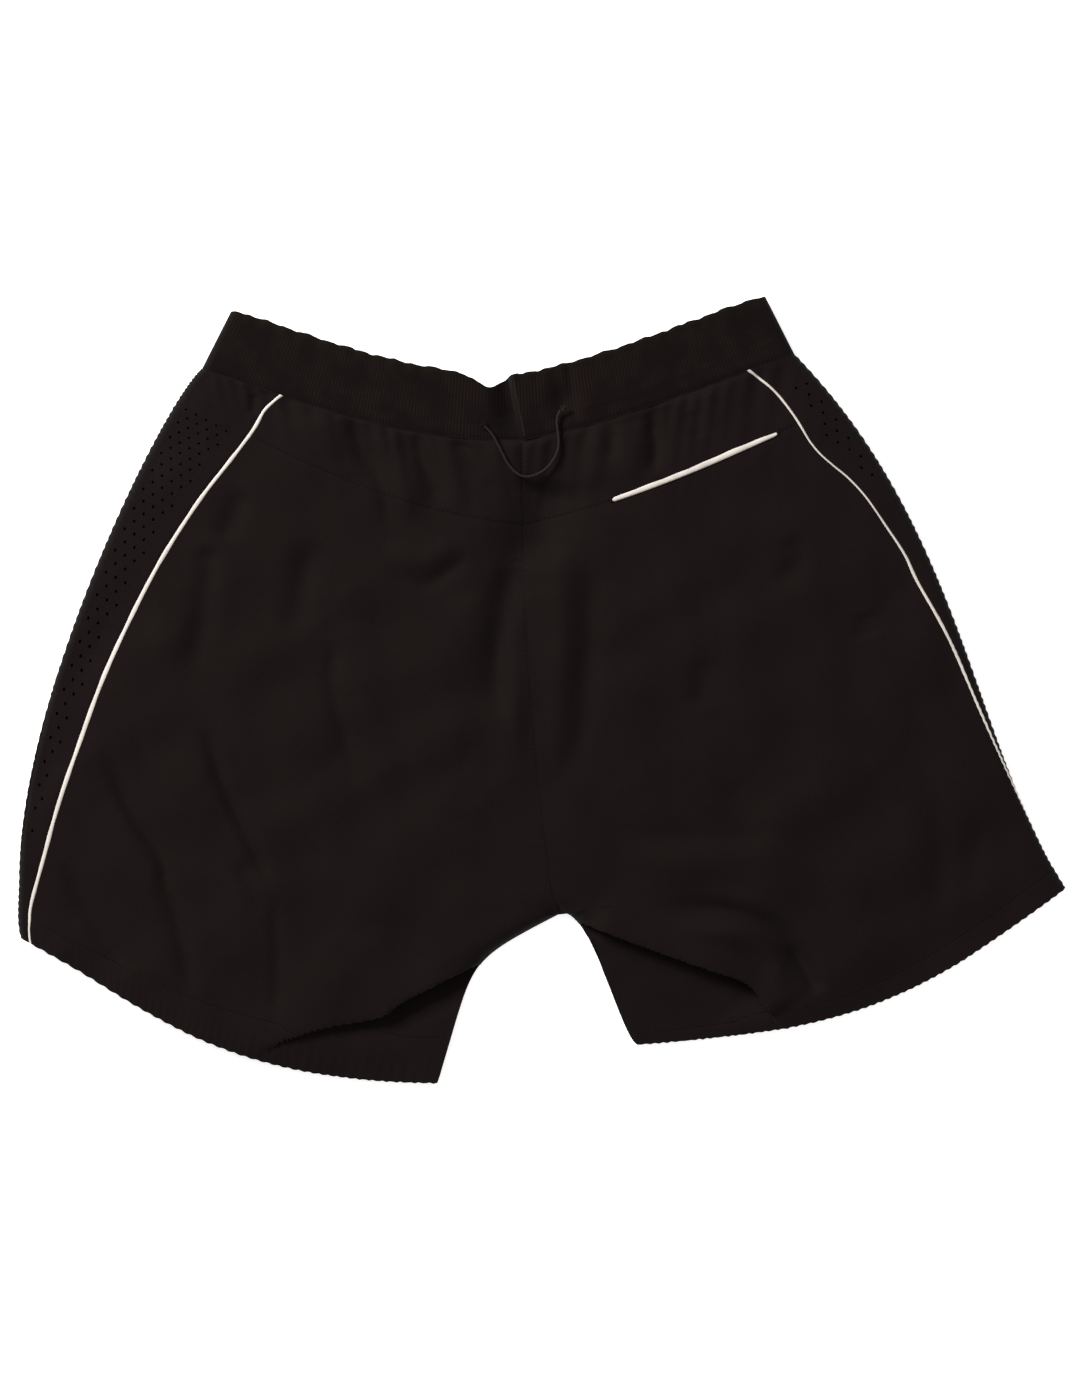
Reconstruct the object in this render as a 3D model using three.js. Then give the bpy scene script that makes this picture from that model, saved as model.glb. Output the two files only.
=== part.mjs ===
// Woven athletic shorts of the boxing and training kind, laid flat with the back uppermost.
// Millimetres, +Z up. +X runs across the garment towards the wearer's right leg as it lies,
// +Y runs from the hems to the waist. The front layer lies on the ground and the back layer
// is held above it by the hollow that the body fills, so the waist and both legs stay open.
import * as THREE from 'three';

// ---- Cloth, elastic and clearances -------------------------------------------------------
const CLOTH = 1.2; // thickness of the solid that stands for one ply of woven cloth
const ELASTIC = 2.0; // thickness of the gathered elastic band
const HOLLOW = 10; // clear height between the front and back layers
const GAP = 0.3; // clearance at every sewn joint

// ---- Body ---------------------------------------------------------------------------------
const BAND_HEIGHT = 46; // waistband, from its seam to its top edge
const BAND_END_LEAN = 27; // degrees that each folded end of the band leans inward
const BACK_RISE = 334; // band seam to crotch, down the centre back
const RISE_LEAN = 4.2; // degrees that the centre seam leans as it lies
const RISE_BOW = 7; // how far the centre seam bows to the left
const SIDE_LENGTH = 420; // band seam to hem, down the side
const CROTCH_SHARE = 0.69; // share of the length of the leg's inner edge above the crotch
const YOKE_DEPTH_CENTRE = 60; // band seam to yoke seam at the centre back
const SEAM_RAMP = 14; // length over which the back layer comes down to a sewn edge

// ---- Side panels and piping ----------------------------------------------------------------
const SIDE_PANEL = { waist: 92, middle: 47, hem: 16 }; // width round the fold, piping excluded
const PIPING_WIDTH = 3;

// ---- Back pocket in the right yoke seam -----------------------------------------------------
const POCKET_MOUTH = 124; // length of the finished opening
const POCKET_INSET = 61; // centre back seam to the near end of the opening
const POCKET_LIP = 4; // width of the lip along the opening
const POCKET_LIP_THICKNESS = 1.0;
const POCKET_DEPTH = 140; // depth of the bag below the opening
const POCKET_MARGIN = 6; // how far the bag is wider than the opening, at each end
const POCKET_CLOTH = 0.6; // thickness of one ply of the pocket bag
const TACK = { length: 7, width: 2.4, thickness: 0.8 }; // dense stitching that ends an opening

// ---- Centre back of the band ----------------------------------------------------------------
const JOIN_STITCH = { width: 2.6, thickness: 0.6, margin: 2 }; // zigzag that joins the band's ends
const CORD_DIAMETER = 2;
const CORD_ANCHOR = { length: 4, width: 3.2, thickness: 1.6 }; // stitched end of the cord
// The cord's route over the band and the yoke, from its left anchor to its right one.
const CORD_ROUTE = [
  [-39.2, 184.8], [-34.9, 180.9], [-31.4, 175.1], [-27.8, 168.0], [-24.2, 160.3], [-19.3, 153.3],
  [-13.7, 149.5], [-8.5, 148.9], [-2.8, 150.5], [2.9, 153.7], [7.9, 158.7], [11.5, 165.2],
  [13.0, 171.5], [12.6, 178.7], [11.1, 186.6], [11.6, 191.6], [13.9, 195.5],
];

// ---- How each leg lies ----------------------------------------------------------------------
// Angles in degrees. waistArm and waistRise place the side end of the band seam. waistSag, hemSag
// and inseamBend bend those edges, as in bentCurve. sideLean is the lean of the side from band to
// hem, and the flare and reach pairs shape its curve. hemLies is the straight width of the hem as
// it lies, hemDrop its angle. A turned-back fold near the inner corner crosses the leg from a
// share of the inseam to a share of the hem. piping gives the distance from the folded edge to
// the back piping seam at the waist, middle and hem; past zero the seam has gone round to the
// front. yokeSide is the yoke's depth beside the side panel.
const LEGS = {
  left: {
    side: -1, waistArm: 231, waistRise: 12.6, waistSag: [[0.33, 20], [0.67, 8.6]], yokeSide: 57,
    sideLean: 17, hipFlare: 51, hipReach: 38, hemFlare: -15.6, hemReach: 122,
    hemLies: 305, hemDrop: 19.2, hemSag: [[0.29, 12.3], [0.51, 51.4]],
    inseamBend: [[0.47, 35], [0.4, 29]],
    foldFrom: 0.48, foldTo: 0.3, piping: { waist: 60, middle: 44, hem: 9.5 },
  },
  right: {
    side: 1, waistArm: 200, waistRise: 17.6, waistSag: [[0.33, 9], [0.67, 2]], yokeSide: 43,
    sideLean: 26.9, hipFlare: 44.4, hipReach: 170, hemFlare: 32.4, hemReach: 122,
    hemLies: 320, hemDrop: 20.2, hemSag: [[0.36, 31.7], [0.48, 47.9]],
    inseamBend: [[0, -25], [0.9, 7.5]],
    foldFrom: 0.26, foldTo: 0.23, piping: { waist: 42, middle: 15, hem: -1 },
  },
};
const WAIST_CENTRE = [-12.3, 175.5]; // centre back of the band seam

// ---- Mesh fineness --------------------------------------------------------------------------
const ROWS_TO_CROTCH = 13; // rows from the waist to the level of the crotch
const ROWS_TO_HEM = 8; // rows from there to the hem
const COLUMNS_BACK = 12; // columns across one back panel
const COLUMNS_FRONT = 9; // columns across one front panel
const ARC_STEPS = 6; // steps round a folded edge
const FLAT_STEPS = 3; // steps across the flat of a side panel beside its fold
const BAND_STEPS = 10; // steps along one arm of the band

// ---- Finishes -------------------------------------------------------------------------------
const cloth = new THREE.MeshStandardMaterial({ color: '#1d1817', roughness: 0.85, metalness: 0 });
const elastic = new THREE.MeshStandardMaterial({ color: '#242019', roughness: 0.9, metalness: 0 });
const mesh = new THREE.MeshStandardMaterial({ color: '#1b1716', roughness: 0.8, metalness: 0 });
const lining = new THREE.MeshStandardMaterial({ color: '#201c1b', roughness: 0.9, metalness: 0 });
const tape = new THREE.MeshStandardMaterial({ color: '#eee4da', roughness: 0.5, metalness: 0 });
const cordFinish = new THREE.MeshStandardMaterial({ color: '#3c3834', roughness: 0.8, metalness: 0 });
const thread = new THREE.MeshStandardMaterial({ color: '#6a6763', roughness: 0.8, metalness: 0 });
const darkThread = new THREE.MeshStandardMaterial({ color: '#171312', roughness: 0.8, metalness: 0 });

// ---- Heights that follow from the plies -----------------------------------------------------
const FRONT_MIDDLE = CLOTH / 2;
const BACK_MIDDLE = CLOTH + HOLLOW + CLOTH / 2;
const TOP = 2 * CLOTH + HOLLOW;
const SEWN_DOWN = CLOTH + GAP + CLOTH / 2; // middle of a back ply that lies on the front ply
const FOLD_RADIUS = (BACK_MIDDLE - FRONT_MIDDLE) / 2;
const QUARTER_TURN = (Math.PI / 2) * FOLD_RADIUS; // from the crest of the fold to a flat layer

const group = new THREE.Group();
const radians = THREE.MathUtils.degToRad;
const vec2 = (x, y) => new THREE.Vector2(x, y);
const smooth = (x) => THREE.MathUtils.smoothstep(x, 0, 1);
const spread = (count) => Array.from({ length: count + 1 }, (_, i) => i / count);

// A quadratic through its values at the waist, the middle and the hem.
function tapered({ waist, middle, hem }, v) {
  const bend = 4 * middle - 2 * waist - 2 * hem;
  return waist + (hem - waist) * v + bend * v * (1 - v);
}

// A cubic from a to b whose inner points are given as [share along, distance to the side].
// A positive distance lies to the right of the way from a to b.
function bentCurve(a, b, inner) {
  const along = b.clone().sub(a);
  const right = vec2(along.y, -along.x).normalize();
  const [first, second] = inner.map(([share, off]) =>
    a.clone().addScaledVector(along, share).addScaledVector(right, off));
  return new THREE.CubicBezierCurve(a, first, second, b);
}

// ---- Plan of one leg ------------------------------------------------------------------------
// The plan is a patch with four curved edges: the band seam, the folded side, the hem, and an
// inner edge made of the centre seam and the inseam. across runs from the inner edge (0) to the
// side (1), down from the waist (0) to the hem (1).
function legPlan(leg) {
  const { side } = leg;
  const centre = vec2(...WAIST_CENTRE);
  const lean = radians(RISE_LEAN);
  const crotch = centre.clone().add(vec2(Math.sin(lean), -Math.cos(lean)).multiplyScalar(BACK_RISE));
  const rise = radians(leg.waistRise);
  const waistSide = centre.clone().add(
    vec2(side * Math.cos(rise), Math.sin(rise)).multiplyScalar(leg.waistArm));
  const sideLean = radians(leg.sideLean);
  const hemOuter = waistSide.clone().add(
    vec2(side * Math.sin(sideLean), -Math.cos(sideLean)).multiplyScalar(SIDE_LENGTH));
  const drop = radians(leg.hemDrop);
  const hemInner = hemOuter.clone().add(
    vec2(-side * Math.cos(drop), -Math.sin(drop)).multiplyScalar(leg.hemLies));

  const flare = radians(leg.hipFlare);
  const hemFlare = radians(leg.hemFlare);
  const outer = new THREE.CubicBezierCurve(
    waistSide,
    waistSide.clone().add(vec2(side * Math.sin(flare), -Math.cos(flare)).multiplyScalar(leg.hipReach)),
    hemOuter.clone().add(vec2(-side * Math.sin(hemFlare), Math.cos(hemFlare)).multiplyScalar(leg.hemReach)),
    hemOuter,
  );
  const waist = bentCurve(centre, waistSide, leg.waistSag.map(([share, off]) => [share, side * off]));
  const centreSeam = bentCurve(centre, crotch, [[1 / 3, RISE_BOW * 4 / 3], [2 / 3, RISE_BOW * 4 / 3]]);
  const inseam = bentCurve(crotch, hemInner, leg.inseamBend);
  const hem = bentCurve(hemOuter, hemInner, leg.hemSag.map(([share, off]) => [share, -side * off]));

  const inner = (v) => (v < CROTCH_SHARE
    ? centreSeam.getPoint(v / CROTCH_SHARE)
    : inseam.getPoint((v - CROTCH_SHARE) / (1 - CROTCH_SHARE)));
  const width = (v) => inner(v).distanceTo(outer.getPoint(v));
  const plan = (across, v) => {
    const point = inner(v).lerp(outer.getPoint(v), across);
    const waistBend = waist.getPoint(across).sub(centre.clone().lerp(waistSide, across));
    const hemBend = hem.getPoint(1 - across).sub(hemInner.clone().lerp(hemOuter, across));
    return point.addScaledVector(waistBend, 1 - v).addScaledVector(hemBend, v);
  };

  const foldStart = inseam.getPoint(leg.foldFrom);
  const foldEnd = hem.getPoint(1 - leg.foldTo);
  const foldAlong = foldEnd.clone().sub(foldStart).normalize();
  const pastFold = (point) => side * foldAlong.cross(point.clone().sub(foldStart));

  // Share of its full height that the back layer has at a place in the plan.
  const lift = (across, v, point) => {
    const fromInner = across * width(v);
    const above = Math.max(0, CROTCH_SHARE - v) / CROTCH_SHARE * BACK_RISE;
    const fromInseam = Math.hypot(fromInner, above) / SEAM_RAMP;
    return smooth(fromInseam) * smooth(pastFold(point) / SEAM_RAMP + 0.5);
  };
  return { ...leg, plan, width, lift, waist };
}

// A point of the leg's cloth. wrap is the distance round the fold from its crest: positive on
// the back, negative on the front.
function onCloth(leg, wrap, v) {
  const angle = wrap / FOLD_RADIUS;
  const onFold = Math.abs(wrap) < QUARTER_TURN;
  const inward = onFold
    ? FOLD_RADIUS * (1 - Math.cos(angle))
    : FOLD_RADIUS + Math.abs(wrap) - QUARTER_TURN;
  const across = 1 - (inward + CLOTH / 2) / leg.width(v);
  const point = leg.plan(across, v);
  if (onFold) {
    return new THREE.Vector3(point.x, point.y, FRONT_MIDDLE + FOLD_RADIUS * (1 + Math.sin(angle)));
  }
  const back = THREE.MathUtils.lerp(SEWN_DOWN, BACK_MIDDLE, leg.lift(across, v, point));
  return new THREE.Vector3(point.x, point.y, wrap > 0 ? back : FRONT_MIDDLE);
}

// Distance round the cloth from the crest of the fold to the centre seam or the inseam.
const wrapToCentre = (leg, v) => leg.width(v) - CLOTH / 2 - FOLD_RADIUS + QUARTER_TURN;
const backSeam = (leg, v) => tapered(leg.piping, v);
const frontSeam = (leg, v) => backSeam(leg, v) - PIPING_WIDTH - tapered(SIDE_PANEL, v);
const yokeLine = (leg, share) => THREE.MathUtils.lerp(
  YOKE_DEPTH_CENTRE / (BACK_RISE / CROTCH_SHARE), leg.yokeSide / SIDE_LENGTH, share);

// ---- Solids ---------------------------------------------------------------------------------
// A sheet of even thickness round the surface at(s, t). Its two faces lie half the thickness to
// either side, and offset moves both along the surface's normal. A closed sheet joins its last
// column to its first.
function sheetSolid(at, columns, rows, thickness, { offset = 0, closed = false } = {}) {
  const step = 1e-4;
  const sides = closed ? columns.slice(0, -1) : columns;
  const normalAt = (s, t) => {
    const s0 = closed ? s - step : Math.max(s - step, 0);
    const s1 = closed ? s + step : Math.min(s + step, 1);
    const alongS = at(s1, t).sub(at(s0, t));
    const alongT = at(s, Math.min(t + step, 1)).sub(at(s, Math.max(t - step, 0)));
    return alongS.cross(alongT).normalize();
  };
  const positions = [];
  for (const face of [0.5, -0.5]) {
    for (const t of rows) {
      for (const s of sides) {
        const point = at(s, t).addScaledVector(normalAt(s, t), offset + face * thickness);
        positions.push(point.x, point.y, point.z);
      }
    }
  }
  const across = sides.length;
  const layer = across * rows.length;
  const id = (face, i, j) => face * layer + j * across + (i % across);
  const index = [];
  const quad = (a, b, c, d) => index.push(a, b, c, a, c, d);
  const spans = closed ? across : across - 1;
  const last = rows.length - 1;
  for (let i = 0; i < spans; i += 1) {
    for (let j = 0; j < last; j += 1) {
      quad(id(0, i, j), id(0, i + 1, j), id(0, i + 1, j + 1), id(0, i, j + 1));
      quad(id(1, i, j), id(1, i, j + 1), id(1, i + 1, j + 1), id(1, i + 1, j));
    }
    quad(id(1, i, 0), id(1, i + 1, 0), id(0, i + 1, 0), id(0, i, 0));
    quad(id(0, i, last), id(0, i + 1, last), id(1, i + 1, last), id(1, i, last));
  }
  if (!closed) {
    for (let j = 0; j < last; j += 1) {
      quad(id(1, 0, j), id(0, 0, j), id(0, 0, j + 1), id(1, 0, j + 1));
      quad(id(1, spans, j), id(1, spans, j + 1), id(0, spans, j + 1), id(0, spans, j));
    }
  }
  const geometry = new THREE.BufferGeometry();
  geometry.setAttribute('position', new THREE.Float32BufferAttribute(positions, 3));
  geometry.setIndex(index);
  faceOutward(geometry);
  return geometry;
}

// Turns every triangle over when the solid's signed volume is negative.
function faceOutward(geometry) {
  const position = geometry.getAttribute('position');
  const index = geometry.getIndex();
  const corner = (i) => new THREE.Vector3().fromBufferAttribute(position, index.getX(i));
  let volume = 0;
  for (let i = 0; i < index.count; i += 3) {
    volume += corner(i).dot(corner(i + 1).cross(corner(i + 2)));
  }
  if (volume < 0) {
    for (let i = 0; i < index.count; i += 3) {
      const second = index.getX(i + 1);
      index.setX(i + 1, index.getX(i + 2));
      index.setX(i + 2, second);
    }
  }
  geometry.computeVertexNormals();
}

function add(name, geometry, material) {
  const piece = new THREE.Mesh(geometry, material);
  piece.name = name;
  group.add(piece);
  return piece;
}

// Strip of the leg's cloth between two wrap distances, from a line near the waist down to the
// hem. One row of it lies at the level of the crotch, so that the inner edge keeps its corner.
function clothPatch(leg, from, to, top) {
  return (s, t) => {
    const v = t < CROTCH_SHARE
      ? THREE.MathUtils.lerp(top(s), CROTCH_SHARE, t / CROTCH_SHARE)
      : t;
    return onCloth(leg, THREE.MathUtils.lerp(from(v), to(v), s), v);
  };
}

// Strip of a side panel: a flat, a half turn round the fold and a flat, a quarter, a half and a
// quarter of its columns. A flat that has run out keeps a width of its own.
function sidePatch(leg, top) {
  const least = 1;
  return (s, t) => {
    const v = THREE.MathUtils.lerp(top, 1, t);
    const start = backSeam(leg, v) - PIPING_WIDTH - GAP / 2;
    const end = frontSeam(leg, v) + GAP / 2;
    const turnStart = Math.min(QUARTER_TURN, start - least);
    const turnEnd = Math.max(-QUARTER_TURN, end + least);
    if (s < 0.25) return onCloth(leg, THREE.MathUtils.lerp(start, turnStart, s * 4), v);
    if (s > 0.75) return onCloth(leg, THREE.MathUtils.lerp(turnEnd, end, s * 4 - 3), v);
    return onCloth(leg, THREE.MathUtils.lerp(turnStart, turnEnd, s * 2 - 0.5), v);
  };
}

const legs = Object.fromEntries(Object.entries(LEGS).map(([name, leg]) => [name, legPlan(leg)]));
const seamHalf = (GAP / 2) / SIDE_LENGTH;
const rows = [
  ...spread(ROWS_TO_CROTCH).map((k) => k * CROTCH_SHARE),
  ...spread(ROWS_TO_HEM).slice(1).map((k) => THREE.MathUtils.lerp(CROTCH_SHARE, 1, k)),
];
const sideColumns = [
  ...spread(FLAT_STEPS).map((k) => k / 4),
  ...spread(ARC_STEPS).slice(1, -1).map((k) => 0.25 + k / 2),
  ...spread(FLAT_STEPS).map((k) => 0.75 + k / 4),
];

// ---- Back yokes, back panels, front panels, side panels and piping ---------------------------
for (const [name, leg] of Object.entries(legs)) {
  const centre = (v) => wrapToCentre(leg, v) - GAP / 2;
  const backEdge = (v) => backSeam(leg, v) + GAP / 2;
  const waist = () => seamHalf;

  const yokePatch = (s, t) => {
    const v = THREE.MathUtils.lerp(seamHalf, yokeLine(leg, s) - seamHalf, t);
    return onCloth(leg, THREE.MathUtils.lerp(centre(v), backEdge(v), s), v);
  };
  add(`back_yoke_${name}`, sheetSolid(yokePatch, spread(COLUMNS_BACK), spread(3), CLOTH), cloth);

  const backPatch = clothPatch(leg, centre, backEdge, (s) => yokeLine(leg, s) + seamHalf);
  add(`back_panel_${name}`, sheetSolid(backPatch, spread(COLUMNS_BACK), rows, CLOTH), cloth);

  add(`side_panel_${name}`, sheetSolid(sidePatch(leg, seamHalf), sideColumns, rows, CLOTH), mesh);

  for (const [face, seam] of [['back', backSeam], ['front', frontSeam]]) {
    const pipingPatch = clothPatch(leg,
      (v) => seam(leg, v) - GAP / 2, (v) => seam(leg, v) - PIPING_WIDTH + GAP / 2, waist);
    add(`${face}_piping_${name}`, sheetSolid(pipingPatch, spread(2), rows, CLOTH), tape);
  }

  const frontPatch = clothPatch(leg,
    (v) => frontSeam(leg, v) - PIPING_WIDTH - GAP / 2, (v) => -centre(v), waist);
  add(`front_panel_${name}`, sheetSolid(frontPatch, spread(COLUMNS_FRONT), rows, CLOTH), cloth);
}

// ---- Waistband ------------------------------------------------------------------------------
// One closed ring, flattened: the upper ply follows the band seam over the back, turns down at
// each end and runs back along the ground. Every place on it leans by an angle that goes evenly
// from one folded end to the other.
const reversed = (curve) => new THREE.CubicBezierCurve(curve.v3, curve.v2, curve.v1, curve.v0);
const bandSeam = new THREE.CurvePath();
bandSeam.add(reversed(legs.left.waist));
bandSeam.add(legs.right.waist);
const seamLength = bandSeam.getLength();
const bandTopMiddle = TOP - ELASTIC / 2;
const bandRadius = (bandTopMiddle - ELASTIC / 2) / 2;
const bandFlat = seamLength - 2 * (bandRadius + ELASTIC / 2);
const bandTurn = Math.PI * bandRadius;
const bandPerimeter = 2 * (bandFlat + bandTurn);

function onBand(distance, height, z) {
  const share = distance / seamLength;
  const lean = radians(BAND_END_LEAN * (1 - 2 * share));
  const point = bandSeam.getPointAt(THREE.MathUtils.clamp(share, 0, 1));
  return new THREE.Vector3(point.x + height * Math.sin(lean), point.y + height * Math.cos(lean), z);
}

function bandRing(s, t) {
  const height = THREE.MathUtils.lerp(GAP / 2, BAND_HEIGHT, t);
  const p = THREE.MathUtils.euclideanModulo(s, 1) * bandPerimeter;
  const flatStart = ELASTIC / 2 + bandRadius;
  if (p <= bandFlat) return onBand(flatStart + p, height, bandTopMiddle);
  if (p <= bandFlat + bandTurn) {
    const angle = (p - bandFlat) / bandRadius;
    const distance = flatStart + bandFlat + bandRadius * Math.sin(angle);
    return onBand(distance, height, ELASTIC / 2 + bandRadius * (1 + Math.cos(angle)));
  }
  if (p <= 2 * bandFlat + bandTurn) {
    return onBand(flatStart + 2 * bandFlat + bandTurn - p, height, ELASTIC / 2);
  }
  const angle = (p - 2 * bandFlat - bandTurn) / bandRadius;
  const distance = flatStart - bandRadius * Math.sin(angle);
  return onBand(distance, height, ELASTIC / 2 + bandRadius * (1 - Math.cos(angle)));
}

const flatSteps = spread(2 * BAND_STEPS).map((k) => k * bandFlat);
const turnSteps = spread(ARC_STEPS).map((k) => k * bandTurn).slice(1, -1);
const bandColumns = [
  ...flatSteps,
  ...turnSteps.map((p) => bandFlat + p),
  ...flatSteps.map((p) => bandFlat + bandTurn + p),
  ...turnSteps.map((p) => 2 * bandFlat + bandTurn + p),
  bandPerimeter,
].map((p) => p / bandPerimeter);
add('waistband_elastic',
  sheetSolid(bandRing, bandColumns, spread(2), ELASTIC, { closed: true }), elastic);

// Zigzag stitching where the two ends of the elastic meet, laid on the band's upper ply.
const joinAt = legs.left.waist.getLength();
const joinZ = TOP + GAP + JOIN_STITCH.thickness / 2;
const joinPatch = (s, t) => onBand(
  joinAt + (s - 0.5) * JOIN_STITCH.width,
  THREE.MathUtils.lerp(JOIN_STITCH.margin, BAND_HEIGHT - JOIN_STITCH.margin, t), joinZ);
add('band_join_stitching', sheetSolid(joinPatch, [0, 1], [0, 1], JOIN_STITCH.thickness), thread);

// ---- Cord loop at the centre back -------------------------------------------------------------
const cordZ = TOP + GAP + CORD_DIAMETER / 2;
const route = CORD_ROUTE.map(([x, y]) => new THREE.Vector3(x, y, cordZ));
const cordSection = new THREE.Shape(spread(8).slice(0, -1).map((k) =>
  vec2(Math.cos(2 * Math.PI * k), Math.sin(2 * Math.PI * k)).multiplyScalar(CORD_DIAMETER / 2)));
const cordPath = new THREE.CatmullRomCurve3(route, false, 'centripetal');
add('cord_loop', new THREE.ExtrudeGeometry(cordSection, { steps: 24, extrudePath: cordPath }), cordFinish);

// A flat block of length, width and thickness on top of the back, its length along a direction.
function blockOnBack(name, { length, width, thickness }, centre, along, finish) {
  const piece = add(name, new THREE.BoxGeometry(length, width, thickness), finish);
  piece.position.set(centre.x, centre.y, TOP + GAP + thickness / 2);
  piece.rotation.z = Math.atan2(along.y, along.x);
}

for (const [name, end, next] of [['left', 0, 1], ['right', route.length - 1, route.length - 2]]) {
  const away = route[end].clone().sub(route[next]).normalize();
  const centre = route[end].clone().addScaledVector(away, GAP + CORD_ANCHOR.length / 2);
  blockOnBack(`cord_anchor_${name}`, CORD_ANCHOR, centre, away, darkThread);
}

// ---- Back pocket --------------------------------------------------------------------------------
// Everything about the pocket is placed by its distance from the centre seam along the yoke seam
// and its distance below that seam.
const pocketLeg = legs.right;
const outward = -pocketLeg.side; // sign of the back's outer face on a sheet that runs this way

function atPocket(distance, below) {
  const reach = (v) => wrapToCentre(pocketLeg, v) - backSeam(pocketLeg, v);
  const seam = yokeLine(pocketLeg, distance / reach(yokeLine(pocketLeg, 0.5)));
  const v = seam + below / SIDE_LENGTH;
  return onCloth(pocketLeg, wrapToCentre(pocketLeg, v) - distance, v);
}
const mouthEnd = POCKET_INSET + POCKET_MOUTH;

const lipPatch = (s, t) => atPocket(POCKET_INSET + s * POCKET_MOUTH, (t - 1) * POCKET_LIP);
add('pocket_piping', sheetSolid(lipPatch, spread(8), [0, 1], POCKET_LIP_THICKNESS, {
  offset: outward * (CLOTH / 2 + GAP + POCKET_LIP_THICKNESS / 2),
}), tape);

const bagPatch = (s, t) => atPocket(
  THREE.MathUtils.lerp(POCKET_INSET - POCKET_MARGIN, mouthEnd + POCKET_MARGIN, s),
  GAP + t * POCKET_DEPTH);
['outer', 'inner'].forEach((name, ply) => {
  const depth = CLOTH / 2 + GAP + POCKET_CLOTH / 2 + ply * (POCKET_CLOTH + GAP);
  add(`pocket_bag_${name}`,
    sheetSolid(bagPatch, spread(6), spread(6), POCKET_CLOTH, { offset: -outward * depth }), lining);
});

for (const [name, distance, way] of [['inner', POCKET_INSET, -1], ['outer', mouthEnd, 1]]) {
  const top = atPocket(distance, -POCKET_LIP);
  const bottom = atPocket(distance, 0);
  const edge = bottom.clone().sub(top).normalize();
  const beside = new THREE.Vector3(-edge.y, edge.x, 0).multiplyScalar(way);
  const centre = top.lerp(bottom, 0.5).addScaledVector(beside, GAP + TACK.width / 2);
  blockOnBack(`pocket_tack_${name}`, TACK, centre, edge, darkThread);
}

// ---- Origin: the middle of the ground under the whole garment -----------------------------------
group.updateMatrixWorld(true);
const box = new THREE.Box3().setFromObject(group, true);
group.position.set(-(box.min.x + box.max.x) / 2, -(box.min.y + box.max.y) / 2, -box.min.z);
group.updateMatrixWorld(true);
export default group;
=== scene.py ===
"""Black woven boxing and training shorts, laid flat with the back uppermost.

The plan of each leg is drafted once, as in a pattern room, and every panel, seam and row of
stitching is a stretch of that draft. Folds are added to the whole garment together, so that
neighbouring panels stay joined. Lengths in the draft are millimetres; meshes are in metres.
"""
import math
from functools import partial

import bpy
import numpy as np
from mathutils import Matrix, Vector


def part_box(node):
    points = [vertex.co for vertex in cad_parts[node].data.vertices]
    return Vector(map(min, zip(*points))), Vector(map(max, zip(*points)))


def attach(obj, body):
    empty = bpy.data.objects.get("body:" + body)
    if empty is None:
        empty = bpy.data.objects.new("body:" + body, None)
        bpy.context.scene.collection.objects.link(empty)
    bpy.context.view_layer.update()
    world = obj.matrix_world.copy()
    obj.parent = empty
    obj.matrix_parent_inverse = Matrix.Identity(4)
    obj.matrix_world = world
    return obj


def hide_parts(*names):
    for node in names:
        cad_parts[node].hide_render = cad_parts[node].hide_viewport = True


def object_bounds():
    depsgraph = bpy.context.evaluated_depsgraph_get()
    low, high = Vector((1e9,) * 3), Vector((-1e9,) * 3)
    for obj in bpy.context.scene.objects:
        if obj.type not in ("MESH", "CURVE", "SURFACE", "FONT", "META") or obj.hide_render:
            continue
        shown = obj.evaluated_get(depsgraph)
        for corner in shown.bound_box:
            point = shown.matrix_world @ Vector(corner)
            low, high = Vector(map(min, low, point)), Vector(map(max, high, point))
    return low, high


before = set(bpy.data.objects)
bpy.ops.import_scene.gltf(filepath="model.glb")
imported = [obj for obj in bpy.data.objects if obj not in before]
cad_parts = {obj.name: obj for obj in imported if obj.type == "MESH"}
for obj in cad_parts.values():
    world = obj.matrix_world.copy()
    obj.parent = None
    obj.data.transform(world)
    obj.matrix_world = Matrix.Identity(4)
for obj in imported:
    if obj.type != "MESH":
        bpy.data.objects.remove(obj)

CAD_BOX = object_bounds()

bl_info = {
    "name": "Woven training shorts",
    "version": (1, 0, 0),
    "blender": (4, 5, 0),
    "location": "3D View > Sidebar > Shorts",
    "description": "Builds a pair of black woven shorts with piping, laid flat",
    "category": "Add Mesh",
}

MM = 0.001
BODY = "root"

# ---- Draft of the garment, in millimetres --------------------------------------------------------
GAP = 0.3
CLOTH_SOLID = 1.2  # ply of the solid model, which sets where the layers lie
BAND_HEIGHT = 46
BAND_END_LEAN = 27
BAND_THICKNESS = 2.0
BACK_RISE = 334
RISE_LEAN = 4.2
RISE_BOW = 7
SIDE_LENGTH = 420
CROTCH_SHARE = 0.69
YOKE_DEPTH_CENTRE = 60
PIPING_WIDTH = 3
SIDE_PANEL = (92, 47, 16)
POCKET_MOUTH = 124
POCKET_INSET = 61
POCKET_LIP = 4
POCKET_DEPTH = 140
POCKET_MARGIN = 6
HEM_DEPTH = 19
ALLOWANCE = 6  # half the width of the seam allowance
JOIN_AT = 1.6  # the band's join, from the centre seam
JOIN_SLANT = 8.5  # how far it leans over the band's height
WAIST_CENTRE = (-12.3, 175.5)
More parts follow.
